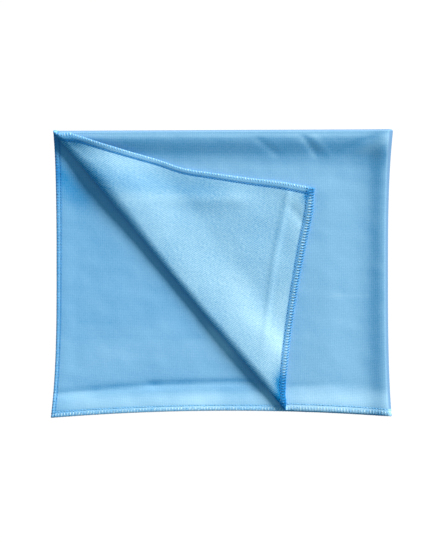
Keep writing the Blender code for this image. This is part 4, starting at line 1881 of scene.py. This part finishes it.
@dataclass(frozen=True)
class Studio:
    """Plain pale floor, soft light from the upper right, and a camera that looks straight down."""

    frame_height: float = 481.97 * MM
    aim: tuple[float, float] = (-0.67 * MM, 1.78 * MM)
    aim_height: float = 8 * MM
    lens: float = 135.0
    sensor: float = 36.0
    clip_end: float = 20.0
    floor_size: float = 6.0
    floor_gap: float = 0.3 * MM
    floor_colour: Colour = (0.05, 0.05, 0.05)
    floor_glow: float = 1.0
    key_elevation: float = 21.5
    key_azimuth: float = 38.0
    key_angle: float = 22.0
    key_strength: float = 7.3
    key_colour: Colour = (1.0, 0.85, 0.78)
    sky_colour: Colour = (0.53, 0.90, 1.0)
    sky_strength: float = 0.30

    def make_camera(self, shift: Array) -> None:
        """Place the camera straight above the cloth, with a long lens.

        Args:
            shift: the way from the folded surface's own middle to its place in the frame.
        """
        data = bpy.data.cameras.new("camera")
        data.lens = self.lens
        data.sensor_width = self.sensor
        data.clip_end = self.clip_end
        camera = add_object("camera", data)
        distance = self.frame_height * self.lens / self.sensor
        camera.location = (self.aim[0] + shift[0], self.aim[1] + shift[1], self.aim_height + distance)
        bpy.context.scene.camera = camera

    def make_light(self) -> None:
        """Set the sun-like key light and the even light from all round."""
        key = bpy.data.lights.new("key", "SUN")
        key.energy = self.key_strength
        key.angle = math.radians(self.key_angle)
        key.color = self.key_colour
        up, round_z = math.radians(self.key_elevation), math.radians(self.key_azimuth)
        towards = Vector((math.sin(round_z) * math.cos(up), math.cos(round_z) * math.cos(up), math.sin(up)))
        add_object("key", key).rotation_euler = towards.to_track_quat("Z", "Y").to_euler()
        world = bpy.data.worlds.new("room")
        world.use_nodes = True
        back = world.node_tree.nodes["Background"]
        back.inputs["Color"].default_value = (*self.sky_colour, 1.0)
        back.inputs["Strength"].default_value = self.sky_strength
        bpy.context.scene.world = world
        bpy.context.scene.view_settings.view_transform = "Standard"

    def make_floor(self) -> bpy.types.Object:
        """Lay the floor.

        Returns:
            The floor's object.
        """
        half, level = self.floor_size / 2, -self.floor_gap
        corners = [(-half, -half, level), (half, -half, level), (half, half, level), (-half, half, level)]
        mesh = bpy.data.meshes.new("floor")
        mesh.from_pydata(corners, [], [(0, 1, 2, 3)])
        sockets = {
            "Base Color": (*self.floor_colour, 1.0),
            "Roughness": 1.0,
            "Specular IOR Level": 0.0,
            "Emission Color": (1.0, 1.0, 1.0, 1.0),
            "Emission Strength": self.floor_glow,
        }
        mesh.materials.append(Board("floor").finish(sockets))
        floor = add_object("floor", mesh)
        floor.visible_diffuse = False
        floor.visible_glossy = False
        return floor


# --- all together ----------------------------------------------------------------------------


def dress(piece: bpy.types.Object) -> bpy.types.Object:
    """Let a piece ride on the cloth's body.

    Args:
        piece: the cloth or a thread.

    Returns:
        The same piece.
    """
    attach(piece, "root")
    return piece


def write_sizes() -> None:
    """Bring the scene's view layer up to date."""
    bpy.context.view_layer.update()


def main() -> None:
    """Build the studio, the cloth and its stitching, in that order."""
    logging.basicConfig(level=logging.INFO, format="%(name)s: %(message)s")
    studio = Studio()
    studio.make_light()
    studio.make_floor()

    cut = Cut()
    folded = FoldedCloth(CornerFold(SideFold(TopFold(cut, Pack()))))
    low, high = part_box(NODE)
    middle = (np.array(low) + np.array(high)) / 2
    shift = np.array((*(middle[:2] - folded.footprint_middle()), 0.0))
    studio.make_camera(shift)
    log.info("shift %s mm", (shift / MM).round(3))

    faces = [
        ClothFinish("inner_face", cut, INNER_PLAIN, INNER_TURNED, turned_from=cut.width / 2).make(),
        ClothFinish("outer_face", cut, OUTER_PLAIN, OUTER_PLAIN, turned_from=-cut.width).make(),
        SHADED_CUT_EDGE.make(),
    ]
    cloth = dress(ClothPiece(folded).build(shift, faces))
    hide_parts(NODE)

    thread_finish = ThreadFinish("sewing_thread").make()
    threads = [
        dress(OverlockThread(folded, name, steps, side, seed).build(shift, thread_finish))
        for name, steps, side, seed in THREADS
    ]
    write_sizes()


if __name__ == "__main__":
    main()
